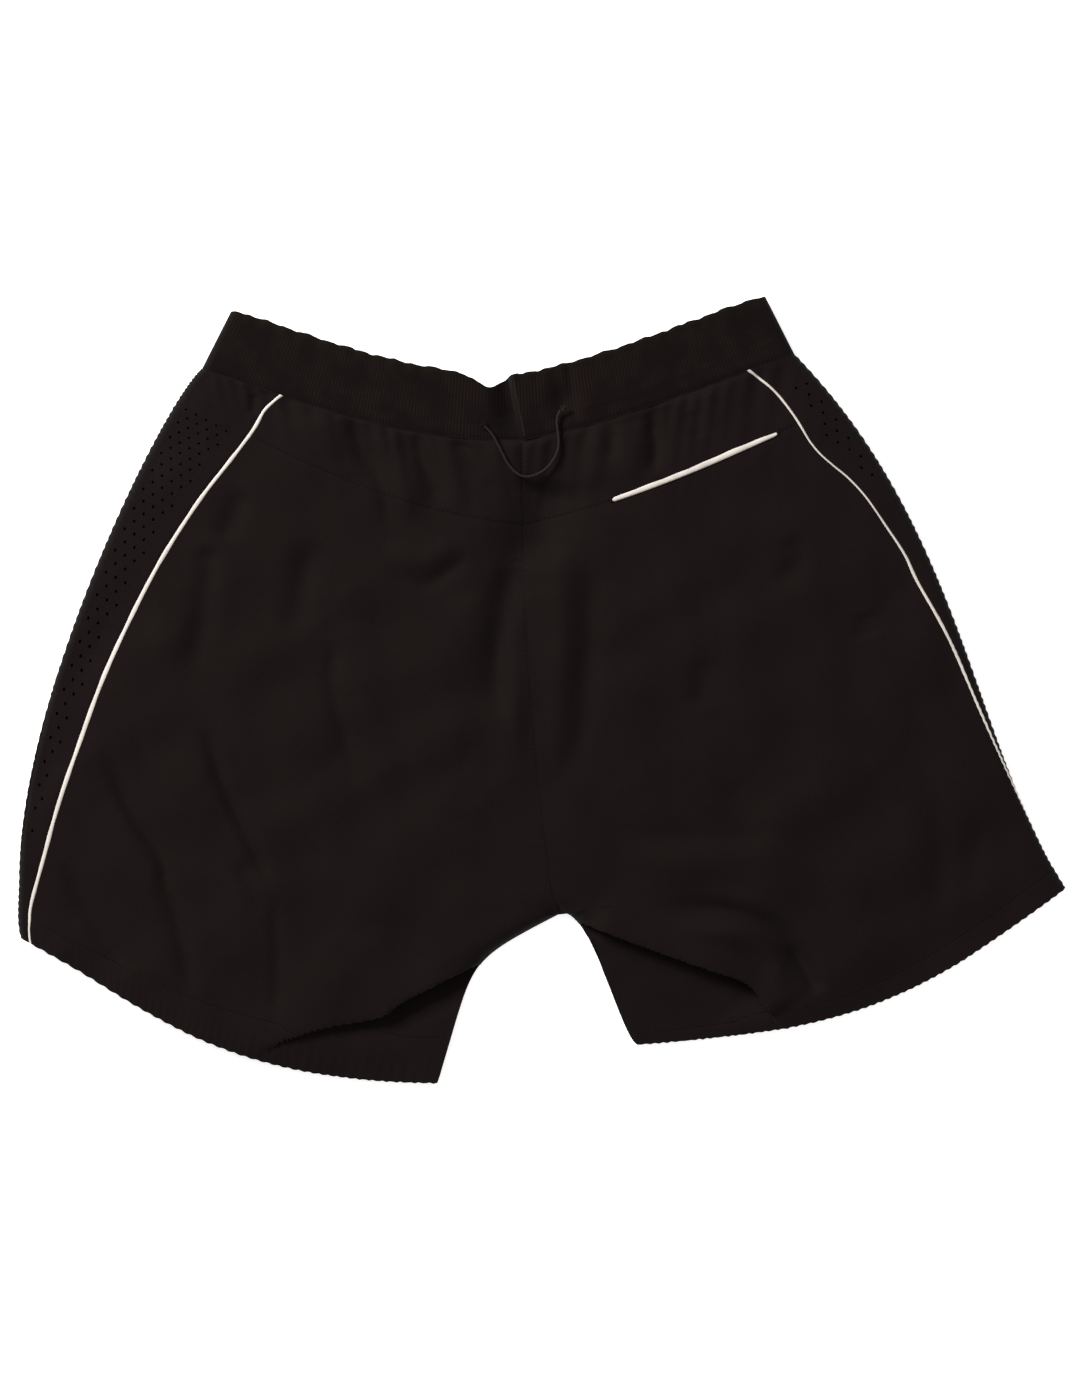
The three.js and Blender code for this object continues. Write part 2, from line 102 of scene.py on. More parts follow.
LEGS = {
    "left": dict(
        side=-1, waist_arm=231, waist_rise=12.6, waist_sag=((0.33, 20), (0.67, 8.6)), yoke_side=57,
        side_lean=17, hip_flare=51, hip_reach=38, hem_flare=-15.6, hem_reach=122,
        hem_lies=305, hem_drop=19.2, hem_sag=((0.29, 12.3), (0.51, 51.4)),
        inseam_bend=((0.47, 35), (0.4, 29)),
        piping=((0, 63.5), (0.06, 60.2), (0.12, 61.4), (0.2, 58.8), (0.28, 53.8), (0.39, 47.3),
                (0.55, 40.2), (0.68, 35.6), (0.82, 27), (0.92, 16.5), (0.96, 14.8), (1, 13.4)),
        piping_width=((0, 1.5), (0.3, 2.1), (0.6, 2.8), (0.86, 2.4), (1, 1)),
        tuck=((-46.8, -193.8), (-72.4, -207.2), (-97.6, -220.5), (-104.6, -226.8), (-115.8, -231.3),
              (-148.8, -237.3), (-168.3, -242.9), (-186.8, -249.5)),
        tuck_depth=11, tuck_closes=0.4, lip=1.5, holes_from=60, corner_flare=5.5,
    ),
    "right": dict(
        side=1, waist_arm=200, waist_rise=17.6, waist_sag=((0.33, 9), (0.67, 2)), yoke_side=43,
        side_lean=26.9, hip_flare=44.4, hip_reach=170, hem_flare=32.4, hem_reach=122,
        hem_lies=320, hem_drop=20.2, hem_sag=((0.36, 31.7), (0.48, 47.9)),
        inseam_bend=((0, -25), (0.9, 7.5)),
        piping=((0, 39), (0.04, 35.5), (0.07, 35.5), (0.1, 36.5), (0.13, 38), (0.155, 37), (0.18, 33.5),
                (0.205, 29.3), (0.24, 25.6), (0.29, 22.8), (0.35, 19.2), (0.4, 18.6), (0.51, 12.8),
                (0.65, 9), (0.78, 4.9), (0.9, 1), (1, -1.5)),
        piping_width=((0, 1.2), (0.08, 0.9), (0.13, 0.45), (0.27, 0.45), (0.36, 1.2), (0.5, 1.5),
                      (0.7, 0.8), (1, 0.8)),
        tuck=((31.1, -164.5), (52.1, -173.2), (80.1, -183.8), (115.1, -196), (136.1, -203),
              (146.6, -209.3), (155, -219.1), (164.1, -231)),
        tuck_depth=15, tuck_closes=0.68, lip=5, holes_from=14, corner_flare=0,
    ),
}
# The cord's route from its left anchor to its right one.
CORD_ROUTE = (
    (-39.2, 184.8), (-34.9, 180.9), (-31.4, 175.1), (-27.8, 168.0), (-24.2, 160.3), (-19.3, 153.3),
    (-13.7, 149.5), (-8.5, 148.9), (-2.8, 150.5), (2.9, 153.7), (7.9, 158.7), (11.5, 165.2),
    (13.0, 171.5), (12.6, 178.7), (11.1, 186.6), (11.6, 191.6), (13.9, 195.5),
)

# Heights of the layers, read off the solid model.
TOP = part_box("back_panel_left")[1].z / MM
BACK_MIDDLE = TOP - CLOTH_SOLID / 2
FRONT_MIDDLE = CLOTH_SOLID / 2
SEWN_DOWN = CLOTH_SOLID * 1.5 + GAP
FOLD_RADIUS = (BACK_MIDDLE - FRONT_MIDDLE) / 2
QUARTER_TURN = math.pi / 2 * FOLD_RADIUS

# Folds of the back layer: points along the fold, height (a valley is negative) and half width.
FOLDS = (
    (((-308, -41), (-285, -88), (-266, -119), (-261, -142)), -3.8, 5.5),
    (((-235, -26), (-223, -64), (-203, -107), (-188, -139)), -4, 5.5),
    (((-188, -139), (-184, -189), (-187, -238)), -1.4, 5),
    (((-336, -119), (-313, -162), (-285, -199)), -2.8, 7),
    (((-266, -125), (-254, -164), (-244, -214)), -2.8, 7),
    (((-212, -119), (-194, -158)), -1.5, 6),
    (((-235, 103), (-233, 76), (-243, 13)), -3, 9),
    (((-208, 141), (-223, 103)), -2.2, 8),
    (((-161, 106), (-168, 68), (-175, 35)), -3, 10),
    (((-145, 36), (-145, -2), (-130, -57)), -1.8, 6),
    (((-110, 88), (-83, 74), (-65, 83), (-48, 95)), -1.9, 6),
    (((-110, 102), (-81, 91), (-58, 106)), 1.8, 8),
    (((-141, 190), (-126, 173), (-110, 138), (-104, 112)), -2.8, 7),
    (((-98, 181), (-79, 153), (-71, 126)), -2.8, 7),
    (((-62, 177), (-49, 167), (-40, 146)), -2, 6),
    (((-118, 186), (-98, 154), (-90, 119)), 2, 8),
    (((-81, 181), (-62, 154), (-55, 122)), 1.8, 8),
    (((-161, 195), (-147, 168), (-137, 133)), 1.4, 9),
    (((-13, 106), (-25, 60), (-30, 13), (-24, -20)), -5, 11),
    (((-51, 70), (-62, 7), (-51, -56)), 2.2, 16),
    (((-19, 63), (-20, 7), (-16, -49)), 2.4, 8),
    (((14, 115), (16, 35), (11, -49)), 3, 11),
    (((37, 110), (34, 28), (28, -30), (12, -70)), -2, 9),
    (((4, 150), (-1, 122), (-5, 84)), -8, 22),
    (((175, 110), (181, 90), (163, 75)), -2.2, 8),
    (((117, 24), (110, -15)), -1.8, 9),
    (((47, -100), (112, -104), (175, -100)), -1.8, 10),
    (((56, -117), (112, -122), (168, -119)), 1.4, 12),
    (((87, -151), (132, -155), (166, -168), (182, -190), (194, -213)), -5, 6.5),
    (((98, -165), (143, -172), (163, -188), (170, -214)), 4.2, 8),
    (((176, -176), (187, -196), (195, -214)), -3, 6),
    (((276, -69), (280, -120), (276, -162)), -1.6, 10),
    (((308, -89), (300, -147)), -1.4, 9),
    (((226, 55), (230, 36)), -1.4, 9),
    (((78, 192), (81, 172), (78, 150)), -3.2, 5),
    (((61, 189), (63, 168), (59, 140)), 2, 9),
    (((42, 186), (40, 161), (33, 140)), 1.4, 8),
    (((51, 182), (50, 161)), -1.4, 5),
    (((105, 196), (112, 175)), -1.2, 6),
    (((-201, 208), (-202, 192)), -1.6, 4),
    (((-133, 49), (-126, -7)), 1.2, 18),
    (((70, 63), (77, -49)), 1, 26),
    (((-280, -7), (-252, -77)), 1.2, 14),
)
RELIEF_SEED = 11
WAVES = 16  # slow waves of the whole back
WAVE_LENGTHS = (34, 110)
WAVE_STEEPNESS = 0.0042  # height over length
GATHER_REACH = 22  # distance below the band over which the gathers die out
SEAM_REACH = 7  # distance below the band over which the relief settles to the seam
INSEAM_ROUND = 12  # distance over which the back layer comes down to the inseam
INSEAM_FADE = 20  # distance over which its folds die out there
NEAR_BATCH = 20000  # places compared with a line at a time, to spare memory
ROW_SPACING = 0.866  # of a staggered lattice, in pitches
HOLE_STRIPE = (12, 43)  # distances from the nearer piping between which the holes lie
HOLE_FROM_FOLD = 11
HOLES_ABOVE_HEM = 75
CREASE_ANGLE = math.radians(55)  # a seam's edge is sharper than this, a fold is rounder
VIEW_WIDTH = 0.9646  # metres of floor across the picture's longer side
FILM = 36
LENS = 85
AIM = (-0.0016, 0.0003)  # metres from the middle of the garment
FLOOR_HALF = 40.0
FLOOR_LOW = -0.0004
SKY_STRENGTH = 0.42
LAMPS = (  # name, place, width, watts
    ("key", (-2.2, 1.95, 2.0), 1.2, 198),
    ("fill", (1.6, -1.0, 2.4), 2.4, 14),
)
DYE_UNEVEN = 1.35  # lightest over middle colour of a cloth
WEAVE_HEIGHT = 0.0004  # metres
ELASTIC_ROW = 0.0013  # metres between the rows of the elastic, across its ribs


# ---- Sizes and colours that a user would change --------------------------------------------------
def srgb(code):
    """Linear colour of an sRGB hex code."""
    parts = [int(code[i:i + 2], 16) / 255 for i in (1, 3, 5)]
    return [p / 12.92 if p <= 0.04045 else ((p + 0.055) / 1.055) ** 2.4 for p in parts]


def length(name, description, millimetres):
    """A length property, given in millimetres."""
    return bpy.props.FloatProperty(
        name=name, description=description, default=millimetres * MM, min=0, precision=5,
        subtype="DISTANCE", unit="LENGTH")


def colour(name, description, code):
    """A colour property, given as sRGB hex."""
    return bpy.props.FloatVectorProperty(
        name=name, description=description, default=srgb(code), size=3, min=0, max=1,
        subtype="COLOR")


class ShortsSizes(bpy.types.PropertyGroup):
    """Thicknesses and pitches of cloth, thread, cord and holes"""
    cloth: length("Cloth", "Thickness of one ply of woven cloth", 0.6)
    hem: length("Hem", "Thickness of the turned hem", 1.3)
    weave: length("Weave", "Pitch of the weave as drawn", 1.1)
    rib: length("Rib", "Pitch of the ribs of the elastic", 2.4)
    gather: length("Gather", "Depth of the gathers below the band", 1.3)
    hole: length("Hole", "Diameter of a ventilation hole", 2.0)
    hole_pitch: length("Hole pitch", "Distance between ventilation holes", 8.0)
    stitch: length("Stitch", "Length of one stitch", 2.4)
    thread: length("Thread", "Diameter of the sewing thread", 0.45)
    cord: length("Cord", "Diameter of the cord loop", 2.0)


class ShortsColours(bpy.types.PropertyGroup):
    """Colours of the finishes and the floor"""
    cloth: colour("Woven polyester", "Matt black plain weave", "#120c0b")
    panel: colour("Perforated polyester", "Matt black of the side panels", "#120c0b")
    elastic: colour("Jacquard elastic", "Brownish black of the waistband", "#100a09")
    tape: colour("Reflective tape", "Warm off-white of the piping", "#c9c1b8")
    cord: colour("Braided cord", "Dark grey of the cord loop", "#1f1b19")
    seam: colour("Black thread", "Thread of the black seams", "#120c0b")
    join: colour("Grey thread", "Thread of the band join", "#2c2a28")
    lining: colour("Pocket lining", "Cloth of the pocket bag", "#120e0d")
    floor: colour("Floor", "Pale floor", "#fafafa")


def size(name):
    """A size that the user may change, in millimetres."""
    return getattr(bpy.context.scene.shorts_sizes, name) / MM


# ---- Draft ---------------------------------------------------------------------------------------
def smooth(x):
    """3x^2 - 2x^3 between 0 and 1, flat outside."""
    x = np.clip(x, 0, 1)
    return x * x * (3 - 2 * x)


def unit_grid(columns, rows):
    """Shares across and down a grid, each from 0 to 1."""
    return np.meshgrid(np.linspace(0, 1, columns), np.linspace(0, 1, rows))


def bezier(points, t):
    """Bernstein sum of three or four points at every t."""
    t = np.asarray(t, float)[..., None]
    p = np.asarray(points, float)
    if len(p) == 3:
        return (1 - t) ** 2 * p[0] + 2 * t * (1 - t) * p[1] + t * t * p[2]
    return (1 - t) ** 3 * p[0] + 3 * t * (1 - t) ** 2 * p[1] + 3 * t * t * (1 - t) * p[2] + t ** 3 * p[3]


def heading(degrees, side=1):
    """Unit step that leans from straight down towards one side."""
    a = math.radians(degrees)
    return np.array([side * math.sin(a), -math.cos(a)])


def bent(a, b, inner):
    """Cubic from a to b; each inner point is a share of the way and a distance to its right."""
    along = b - a
    right = np.array([along[1], -along[0]]) / np.hypot(*along)
    return np.array([a, *[a + along * share + right * off for share, off in inner], b])


def tapered(values, v):
    """Quadratic through a value at the waist, the middle and the hem."""
    waist, middle, hem = values
    return waist + (hem - waist) * v + (4 * middle - 2 * waist - 2 * hem) * v * (1 - v)


def through(points, steps=160):
    """Smooth line through points: between each pair a Catmull-Rom cubic, whose slope at a point is
    half the way between its neighbours."""
    p = np.asarray(points, float)
    p = np.vstack([2 * p[0] - p[1], p, 2 * p[-1] - p[-2]])
    at = np.linspace(0, len(points) - 1, steps)
    i = np.minimum(at.astype(int), len(points) - 2)
    f = (at - i)[:, None]
    a, b, c, d = p[i], p[i + 1], p[i + 2], p[i + 3]
    square, cube = 2 * a - 5 * b + 4 * c - d, 3 * b - a - 3 * c + d
    return 0.5 * (2 * b + (c - a) * f + square * f ** 2 + cube * f ** 3)


class Leg:
    """Plan of one leg: a patch between the centre seam and inseam, the side, the waist and the hem."""

    def __init__(self, name):
        self.name = name
        self.__dict__.update(LEGS[name])
        side = self.side
        centre = np.array(WAIST_CENTRE)
        crotch = centre + heading(RISE_LEAN) * BACK_RISE
        rise = math.radians(self.waist_rise)
        waist_side = centre + np.array([side * math.cos(rise), math.sin(rise)]) * self.waist_arm
        hem_outer = waist_side + heading(self.side_lean, side) * SIDE_LENGTH
        drop = math.radians(self.hem_drop)
        hem_inner = hem_outer + np.array([-side * math.cos(drop), -math.sin(drop)]) * self.hem_lies
        self.corners = centre, waist_side, hem_outer, hem_inner
        self.outer = np.array([
            waist_side,
            waist_side + heading(self.hip_flare, side) * self.hip_reach,
            hem_outer - heading(self.hem_flare, side) * self.hem_reach,
            hem_outer])
        rise_bow = ((1 / 3, RISE_BOW * 4 / 3), (2 / 3, RISE_BOW * 4 / 3))
        self.waist = bent(centre, waist_side, [(s, side * off) for s, off in self.waist_sag])
        self.centre_seam = bent(centre, crotch, rise_bow)
        self.inseam = bent(crotch, hem_inner, self.inseam_bend)
        self.hem_line = bent(hem_outer, hem_inner, [(s, -side * off) for s, off in self.hem_sag])

    def inner(self, v):
        """The centre seam down to the crotch, and the inseam below it."""
        above = bezier(self.centre_seam, np.clip(v / CROTCH_SHARE, 0, 1))
        below = bezier(self.inseam, np.clip((v - CROTCH_SHARE) / (1 - CROTCH_SHARE), 0, 1))
        return np.where((v < CROTCH_SHARE)[..., None], above, below)

    def width(self, v):
        return np.linalg.norm(self.inner(v) - bezier(self.outer, v), axis=-1)

    def plan(self, across, v):
        """Coons patch: lines from the inner edge to the side, bent to the waist and hem curves."""
        centre, waist_side, hem_outer, hem_inner = self.corners
        a, w = across[..., None], v[..., None]
        point = self.inner(v) * (1 - a) + bezier(self.outer, v) * a
        waist = bezier(self.waist, across) - (centre * (1 - a) + waist_side * a)
        hem = bezier(self.hem_line, 1 - across) - (hem_inner * (1 - a) + hem_outer * a)
        return point + waist * (1 - w) + hem * w

    def reach(self, v):
        """Distance round the cloth from the crest of the side fold to the inner edge."""
        return self.width(v) - CLOTH_SOLID / 2 - FOLD_RADIUS + QUARTER_TURN

    def back_seam(self, v):
        """Distance from the fold to the back piping seam, through its values down the side."""
        at, distance = through(self.piping).T
        return np.interp(v, at, distance)

    def piping_half(self, v):
        """Half the width of the strip that shows, slightly uneven as two sines along it."""
        at, width = zip(*self.piping_width)
        return np.interp(v, at, width) / 2 * (1 + 0.1 * np.sin(v * 71) + 0.08 * np.sin(v * 133 + 1))

    def back_edge(self, v):
        """Edge of the back panel at its piping."""
        return self.back_seam(v) - PIPING_WIDTH / 2 + self.piping_half(v)

    def side_edge(self, v):
        """Edge of the side panel at the back piping."""
        return self.back_seam(v) - PIPING_WIDTH / 2 - self.piping_half(v)

    def front_seam(self, v):
        """Distance from the fold to the front piping seam, negative below the crest."""
        return self.back_seam(v) - PIPING_WIDTH - tapered(SIDE_PANEL, v)

    def yoke(self, share):
        """Share of the side length at which the yoke seam lies, straight across the leg."""
        top = YOKE_DEPTH_CENTRE / (BACK_RISE / CROTCH_SHARE)
        return top + (self.yoke_side / SIDE_LENGTH - top) * share


LEG = {name: Leg(name) for name in LEGS}


def outline_centre():
    """Middle of the box round the drafted sides, hems and band."""
    t = np.linspace(0, 1, 200)
    points = [bezier(c, t) for leg in LEG.values() for c in (leg.outer, leg.hem_line)]
    lean = math.radians(BAND_END_LEAN)
    tops = [leg.corners[1] + np.array([leg.side * -math.sin(lean), math.cos(lean)]) * BAND_HEIGHT
            for leg in LEG.values()]
    points = np.vstack([*points, tops])
    return (points.min(0) + points.max(0)) / 2


def chain(points, steps=60):
    """Points along a fold, and its unit tangents."""
    line = through(points, steps)
    tangent = np.gradient(line, axis=0)
    return line, tangent / np.linalg.norm(tangent, axis=1, keepdims=True)


def nearest(points, line):
    """Index of the nearest point of a line, for every place."""
    flat = points.reshape(-1, 2)
    best = np.empty(len(flat), int)
    for start in range(0, len(flat), NEAR_BATCH):
        part = flat[start:start + NEAR_BATCH]
        gaps = ((part[:, None] - line[None]) ** 2).sum(-1)
        best[start:start + NEAR_BATCH] = gaps.argmin(1)
    return best.reshape(points.shape[:-1])


def relief(xy, v):
    """Height of the folds of the back layer: each fold is a Gaussian ridge or valley across its
    line, fading towards its ends, over slow waves and the gathers that hang from the band."""
    x, y = xy[..., 0], xy[..., 1]
    total = np.zeros(x.shape)
    for points, height, half in FOLDS:
        low = np.min(points, axis=0) - 3.2 * half
        high = np.max(points, axis=0) + 3.2 * half
        near = (x > low[0]) & (x < high[0]) & (y > low[1]) & (y < high[1])
        if not near.any():
            continue
        line, _ = chain(points)
        index = nearest(xy[near], line)
        offset = np.linalg.norm(xy[near] - line[index], axis=-1)
        ends = smooth(np.minimum(index, len(line) - 1 - index) / (len(line) * 0.3) + 0.15)
        total[near] += height * ends * np.exp(-(offset / half) ** 2)
    waves = np.random.default_rng(RELIEF_SEED)
    for _ in range(WAVES):
        angle = waves.uniform(0, math.pi)
        wavelength = waves.uniform(*WAVE_LENGTHS)
        phase = waves.uniform(0, 6.3)
        run = (x * math.cos(angle) + y * math.sin(angle)) * 2 * math.pi / wavelength
        total += WAVE_STEEPNESS * wavelength * np.sin(run + phase + 0.6 * np.sin(run * 0.37))
    below = v * SIDE_LENGTH
    run = x + 0.15 * below * np.sign(x + 12)
    gathers = np.sin(run / 2.1 + 1.8 * np.sin(run / 17)) + 0.8 * np.sin(run / 3.7 + 2 + np.sin(run / 29))
    total += 0.5 * size("gather") * gathers * np.exp(-below / GATHER_REACH)
    return total * (0.1 + 0.9 * smooth(below / SEAM_REACH))


def fine_crumple(xy, height=0.16):
    """Small creases everywhere: a few crossing waves bent by one another."""
    x, y = xy[..., 0], xy[..., 1]
    a = np.sin(x / 7.3 + 2.1 * np.sin(y / 19) + 1)
    b = np.sin(y / 9.1 + 1.7 * np.sin(x / 15))
    c = np.sin((x + y) / 5.7 + 1.3 * np.sin((x - y) / 13))
    return height * (a * b + 0.6 * c * a)


def turned_ply():
    """A ply that turns under and back on itself, in units of the turn's depth: for each distance
    along the cloth, how far it lies from the fold's edge and its share of the height. The zigzag
    0, 1, 0 is rounded by a Gaussian."""
    m = np.arange(-8, 8.001, 0.02)
    away = np.where(m >= 0, m, np.where(m > -2, 1 - np.abs(m + 1), m + 2))
    share = np.where(m < -1, 0, np.clip(1 + 0.9 * m, 0.1, 1))
    kernel = np.exp(-(np.arange(-20, 21) * 0.02 / 0.12) ** 2)
    kernel /= kernel.sum()
    away = np.convolve(np.pad(away, 20, mode="reflect", reflect_type="odd"), kernel, mode="valid")
    share = np.convolve(np.pad(share, 20, mode="edge"), kernel, mode="valid")
    return m, away, share


def turn_under(leg, xy):
    """Turns the cloth under along the leg's fold. Returns the moved places, the share of the back
    layer's height left to each, how far the fold's edge stands up, and how far the cloth inside
    the turn rises. The turn's depth fades to nothing at both ends of the fold."""
    line, tangent = chain(leg.tuck, 240)
    index = nearest(xy, line)
    normal = leg.side * np.stack([-tangent[..., 1], tangent[..., 0]], -1)[index]
    offset = xy - line[index]
    signed = (offset * normal).sum(-1)
    beside = np.abs(offset[..., 0] * normal[..., 1] - offset[..., 1] * normal[..., 0])
    along = index / (len(line) - 1)
    ends = smooth(along / 0.12 + 0.1) * smooth((1 - along) / 0.12 + 0.1)
    ends = ends * smooth(1.4 - beside / 8)
    depth = leg.tuck_depth * np.maximum(ends, 0.02)
    reach = 1.6 * depth
    m = np.where(signed > reach, signed, np.where(
        signed < -reach, signed - 2 * depth, signed * (1 + depth / reach) - depth))
    table, away, height = turned_ply()
    unit = np.clip(m / depth, -8, 8)
    folded = np.where(np.abs(m / depth) < 8, np.interp(unit, table, away) * depth, signed)
    share = np.interp(unit, table, height)
    beyond = smooth((beside - 2) / 14)
    side_share = smooth((signed + 8) / 16)
    share = share * (1 - beyond) + side_share * beyond
    lip = leg.lip * np.exp(-(np.maximum(m, 0) / 24) ** 2) * (m > -depth) * ends
    closing = smooth((along - leg.tuck_closes) / (1 - leg.tuck_closes))
    rise = 2.6 * smooth(-signed / 26) * ends + 8 * closing * np.exp(-(signed / 24) ** 2)
    return xy + normal * (folded - signed)[..., None], share, lip, rise


def back_layer(leg, wrap, v, tucked=False):
    """Places on the leg's cloth. wrap is the distance round the side fold from its crest, positive
    on the back; v runs from the waist to the hem. Returns points of the middle of the ply: half a
    circle round the fold, then straight on along the front, or on the back lifted by a quarter
    ellipse beside the inseam, with the folds added."""
    angle = wrap / FOLD_RADIUS
    on_fold = np.abs(wrap) < QUARTER_TURN
    inward = np.where(
        on_fold, FOLD_RADIUS * (1 - np.cos(angle)), FOLD_RADIUS + np.abs(wrap) - QUARTER_TURN)
    ripple = 0.3 * np.sin(v * 470 + 1.3 * np.sin(v * 61)) * np.exp(-(wrap / 9) ** 2)
    flare = leg.corner_flare * smooth((v - 0.84) / 0.16) ** 2 * np.exp(-(wrap / 30) ** 2)
    across = 1 - (inward + ripple - flare + CLOTH_SOLID / 2) / leg.width(v)
    xy = leg.plan(across, v)
    on_back = wrap > 0

    from_inner = np.maximum(across, 0) * leg.width(v)
    above = np.maximum(0, CROTCH_SHARE - v) / CROTCH_SHARE * BACK_RISE
    from_inseam = np.hypot(from_inner, above)
    lift = np.sqrt(1 - (1 - np.clip(from_inseam / INSEAM_ROUND, 0, 1)) ** 2)
    share, lip, rise = np.ones(v.shape), np.zeros(v.shape), np.zeros(v.shape)
    if tucked:
        flat = xy
        xy, share, lip, rise = turn_under(leg, xy)
        share = share * smooth((from_inseam + 6) / 8)
        rope = np.sin((flat[..., 0] + 0.35 * flat[..., 1]) * 2 * math.pi / 6.4
                      + 1.2 * np.sin(flat[..., 0] / 21))
        to_hem = (1 - v) * SIDE_LENGTH
        xy = xy - np.array([0, 0.45]) * (rope * smooth(1 - to_hem / 9))[..., None]

    fade = smooth((np.abs(wrap) - QUARTER_TURN * 0.4) / 24)
    folds = (relief(xy, v) + fine_crumple(xy)) * fade * smooth(from_inseam / INSEAM_FADE)
    high = SEWN_DOWN + (BACK_MIDDLE - SEWN_DOWN) * lift + folds + lip
    low = SEWN_DOWN + 0.5 + fine_crumple(xy, 0.3) + rise
    back = low + (np.maximum(high, low) - low) * share
    front = FRONT_MIDDLE + 0.3 + fine_crumple(xy, 0.25)
    turn = FRONT_MIDDLE + FOLD_RADIUS * (1 + np.sin(angle))
    z = np.where(on_fold, turn + np.where(on_back, folds, 0), np.where(on_back, back, front))
    return np.concatenate([xy, z[..., None]], -1)


# ---- Meshes --------------------------------------------------------------------------------------
BOX_CENTRE = (np.array(CAD_BOX[0][:2]) + np.array(CAD_BOX[1][:2])) / 2 / MM
SHIFT = np.array([*(BOX_CENTRE - outline_centre()), 0])


def new_mesh(name, points, quads, uv, finish, stands_for=None):
    """A mesh object from arrays: points in draft millimetres, quads of point numbers, uv per point.
    It takes the material and the slot of its finish, and stands for a solid of the model."""
    points = (points.reshape(-1, 3) + SHIFT) * MM
    mesh = bpy.data.meshes.new(name)
    mesh.vertices.add(len(points))
    mesh.vertices.foreach_set("co", points.astype(np.float32).ravel())
    mesh.loops.add(quads.size)
    mesh.loops.foreach_set("vertex_index", quads.astype(np.int32).ravel())
    mesh.polygons.add(len(quads))
    mesh.polygons.foreach_set("loop_start", np.arange(0, quads.size, quads.shape[1], dtype=np.int32))
    mesh.polygons.foreach_set("use_smooth", np.ones(len(quads), bool))
    mesh.update(calc_edges=True)
    mesh.validate()
    mesh.set_sharp_from_angle(angle=CREASE_ANGLE)
    if uv is not None:
        layer = mesh.uv_layers.new(name="cloth")
        layer.data.foreach_set("uv", (uv.reshape(-1, 2)[quads.ravel()] * MM).astype(np.float32).ravel())
    piece = bpy.data.objects.new(name, mesh)
    bpy.context.scene.collection.objects.link(piece)
    mesh.materials.append(material(finish))
    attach(piece, BODY)
    if stands_for:
        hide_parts(stands_for)
    return piece


def grid_normals(points, closed=False):
    """Unit cross product of the two directions of a grid of points."""
    if closed:
        along = np.roll(points, -1, 1) - np.roll(points, 1, 1)
    else:
        along = np.gradient(points, axis=1)
    normal = np.cross(along, np.gradient(points, axis=0))
    return normal / np.maximum(np.linalg.norm(normal, axis=-1, keepdims=True), 1e-9)


def sheet_arrays(points, uv, thickness, closed=False, keep=None):
    """Both faces of a sheet of cloth and the walls round its edges. keep marks the grid's cells
    that stay; a wall stands wherever a cell that stays has no neighbour."""
    rows, columns = points.shape[:2]
    half = grid_normals(points, closed) * np.broadcast_to(thickness, (rows, columns))[..., None] / 2
    both = np.concatenate([(points + half).reshape(-1, 3), (points - half).reshape(-1, 3)])
    number = np.arange(rows * columns).reshape(rows, columns)
    if closed:
        number = np.concatenate([number, number[:, :1]], 1)
    a, b, c, d = number[:-1, :-1], number[:-1, 1:], number[1:, 1:], number[1:, :-1]
    keep = np.ones(a.shape, bool) if keep is None else keep
    under = rows * columns
    top = np.stack([a, b, c, d], -1)[keep]
    bottom = np.stack([a, d, c, b], -1)[keep] + under
    walls = []
    for axis, step, first, second in ((0, -1, b, a), (0, 1, d, c), (1, -1, a, d), (1, 1, c, b)):
        ringed = closed and axis == 1
        beyond = np.roll(keep, -step, axis)
        if not ringed:
            edge = [slice(None), slice(None)]
            edge[axis] = 0 if step < 0 else -1
            beyond[tuple(edge)] = False
        bare = keep & ~beyond
        p, q = first[bare], second[bare]
        walls.append(np.stack([p, q, q + under, p + under], -1))
    quads = np.concatenate([top, bottom, *walls])
    return both, quads, np.concatenate([uv.reshape(-1, 2)] * 2)


def outward(points, quads):
    """Turns the quads over when the closed shape's signed volume is negative."""
    p = points.reshape(-1, 3)[quads]
    volume = (p[:, 0] * np.cross(p[:, 1], p[:, 2])).sum() + (p[:, 0] * np.cross(p[:, 2], p[:, 3])).sum()
    return quads if volume > 0 else quads[:, ::-1]


def sheet_piece(name, points, thickness, finish, stands_for=None, uv=None, closed=False, keep=None):
    """A piece of cloth from a grid of its middle, without the points that no quad uses."""
    uv = flat_uv(points) if uv is None else uv
    both, quads, both_uv = sheet_arrays(points, uv, thickness, closed, keep)
    used = np.unique(quads)
    renumber = np.full(len(both), -1)
    renumber[used] = np.arange(len(used))
    quads = renumber[quads]
    return new_mesh(name, both[used], outward(both[used], quads), both_uv[used], finish, stands_for)


def flat_uv(points):
    """Distance along and across a sheet, summed between neighbouring points."""
    across = np.linalg.norm(np.diff(points, axis=1), axis=-1)
    down = np.linalg.norm(np.diff(points, axis=0), axis=-1)
    u = np.concatenate([np.zeros((points.shape[0], 1)), across.cumsum(1)], 1)
    v = np.concatenate([np.zeros((1, points.shape[1])), down.cumsum(0)], 0)
    u -= u.mean(1, keepdims=True)
    return np.stack([u, v], -1)


def declare_sheet(points):
    """Works out the area and box of a panel's flat net, the size of cloth that it was cut to, and keeps
    neither.
    """
    a, b = points[:-1, 1:] - points[:-1, :-1], points[1:, :-1] - points[:-1, :-1]
    area = np.linalg.norm(np.cross(a, b), axis=-1).sum() * MM * MM
    net = flat_uv(points)
    flat = (net.reshape(-1, 2).max(0) - net.reshape(-1, 2).min(0)) * MM
    flat *= max(1, math.sqrt(area / (flat[0] * flat[1])))
    area = min(area, flat[0] * flat[1])


def panel_piece(name, points, thickness, finish, stands_for):
    """A panel of cloth that lies on another piece or on the floor."""
    piece = sheet_piece(name, points, thickness, finish, stands_for)
    declare_sheet(points)


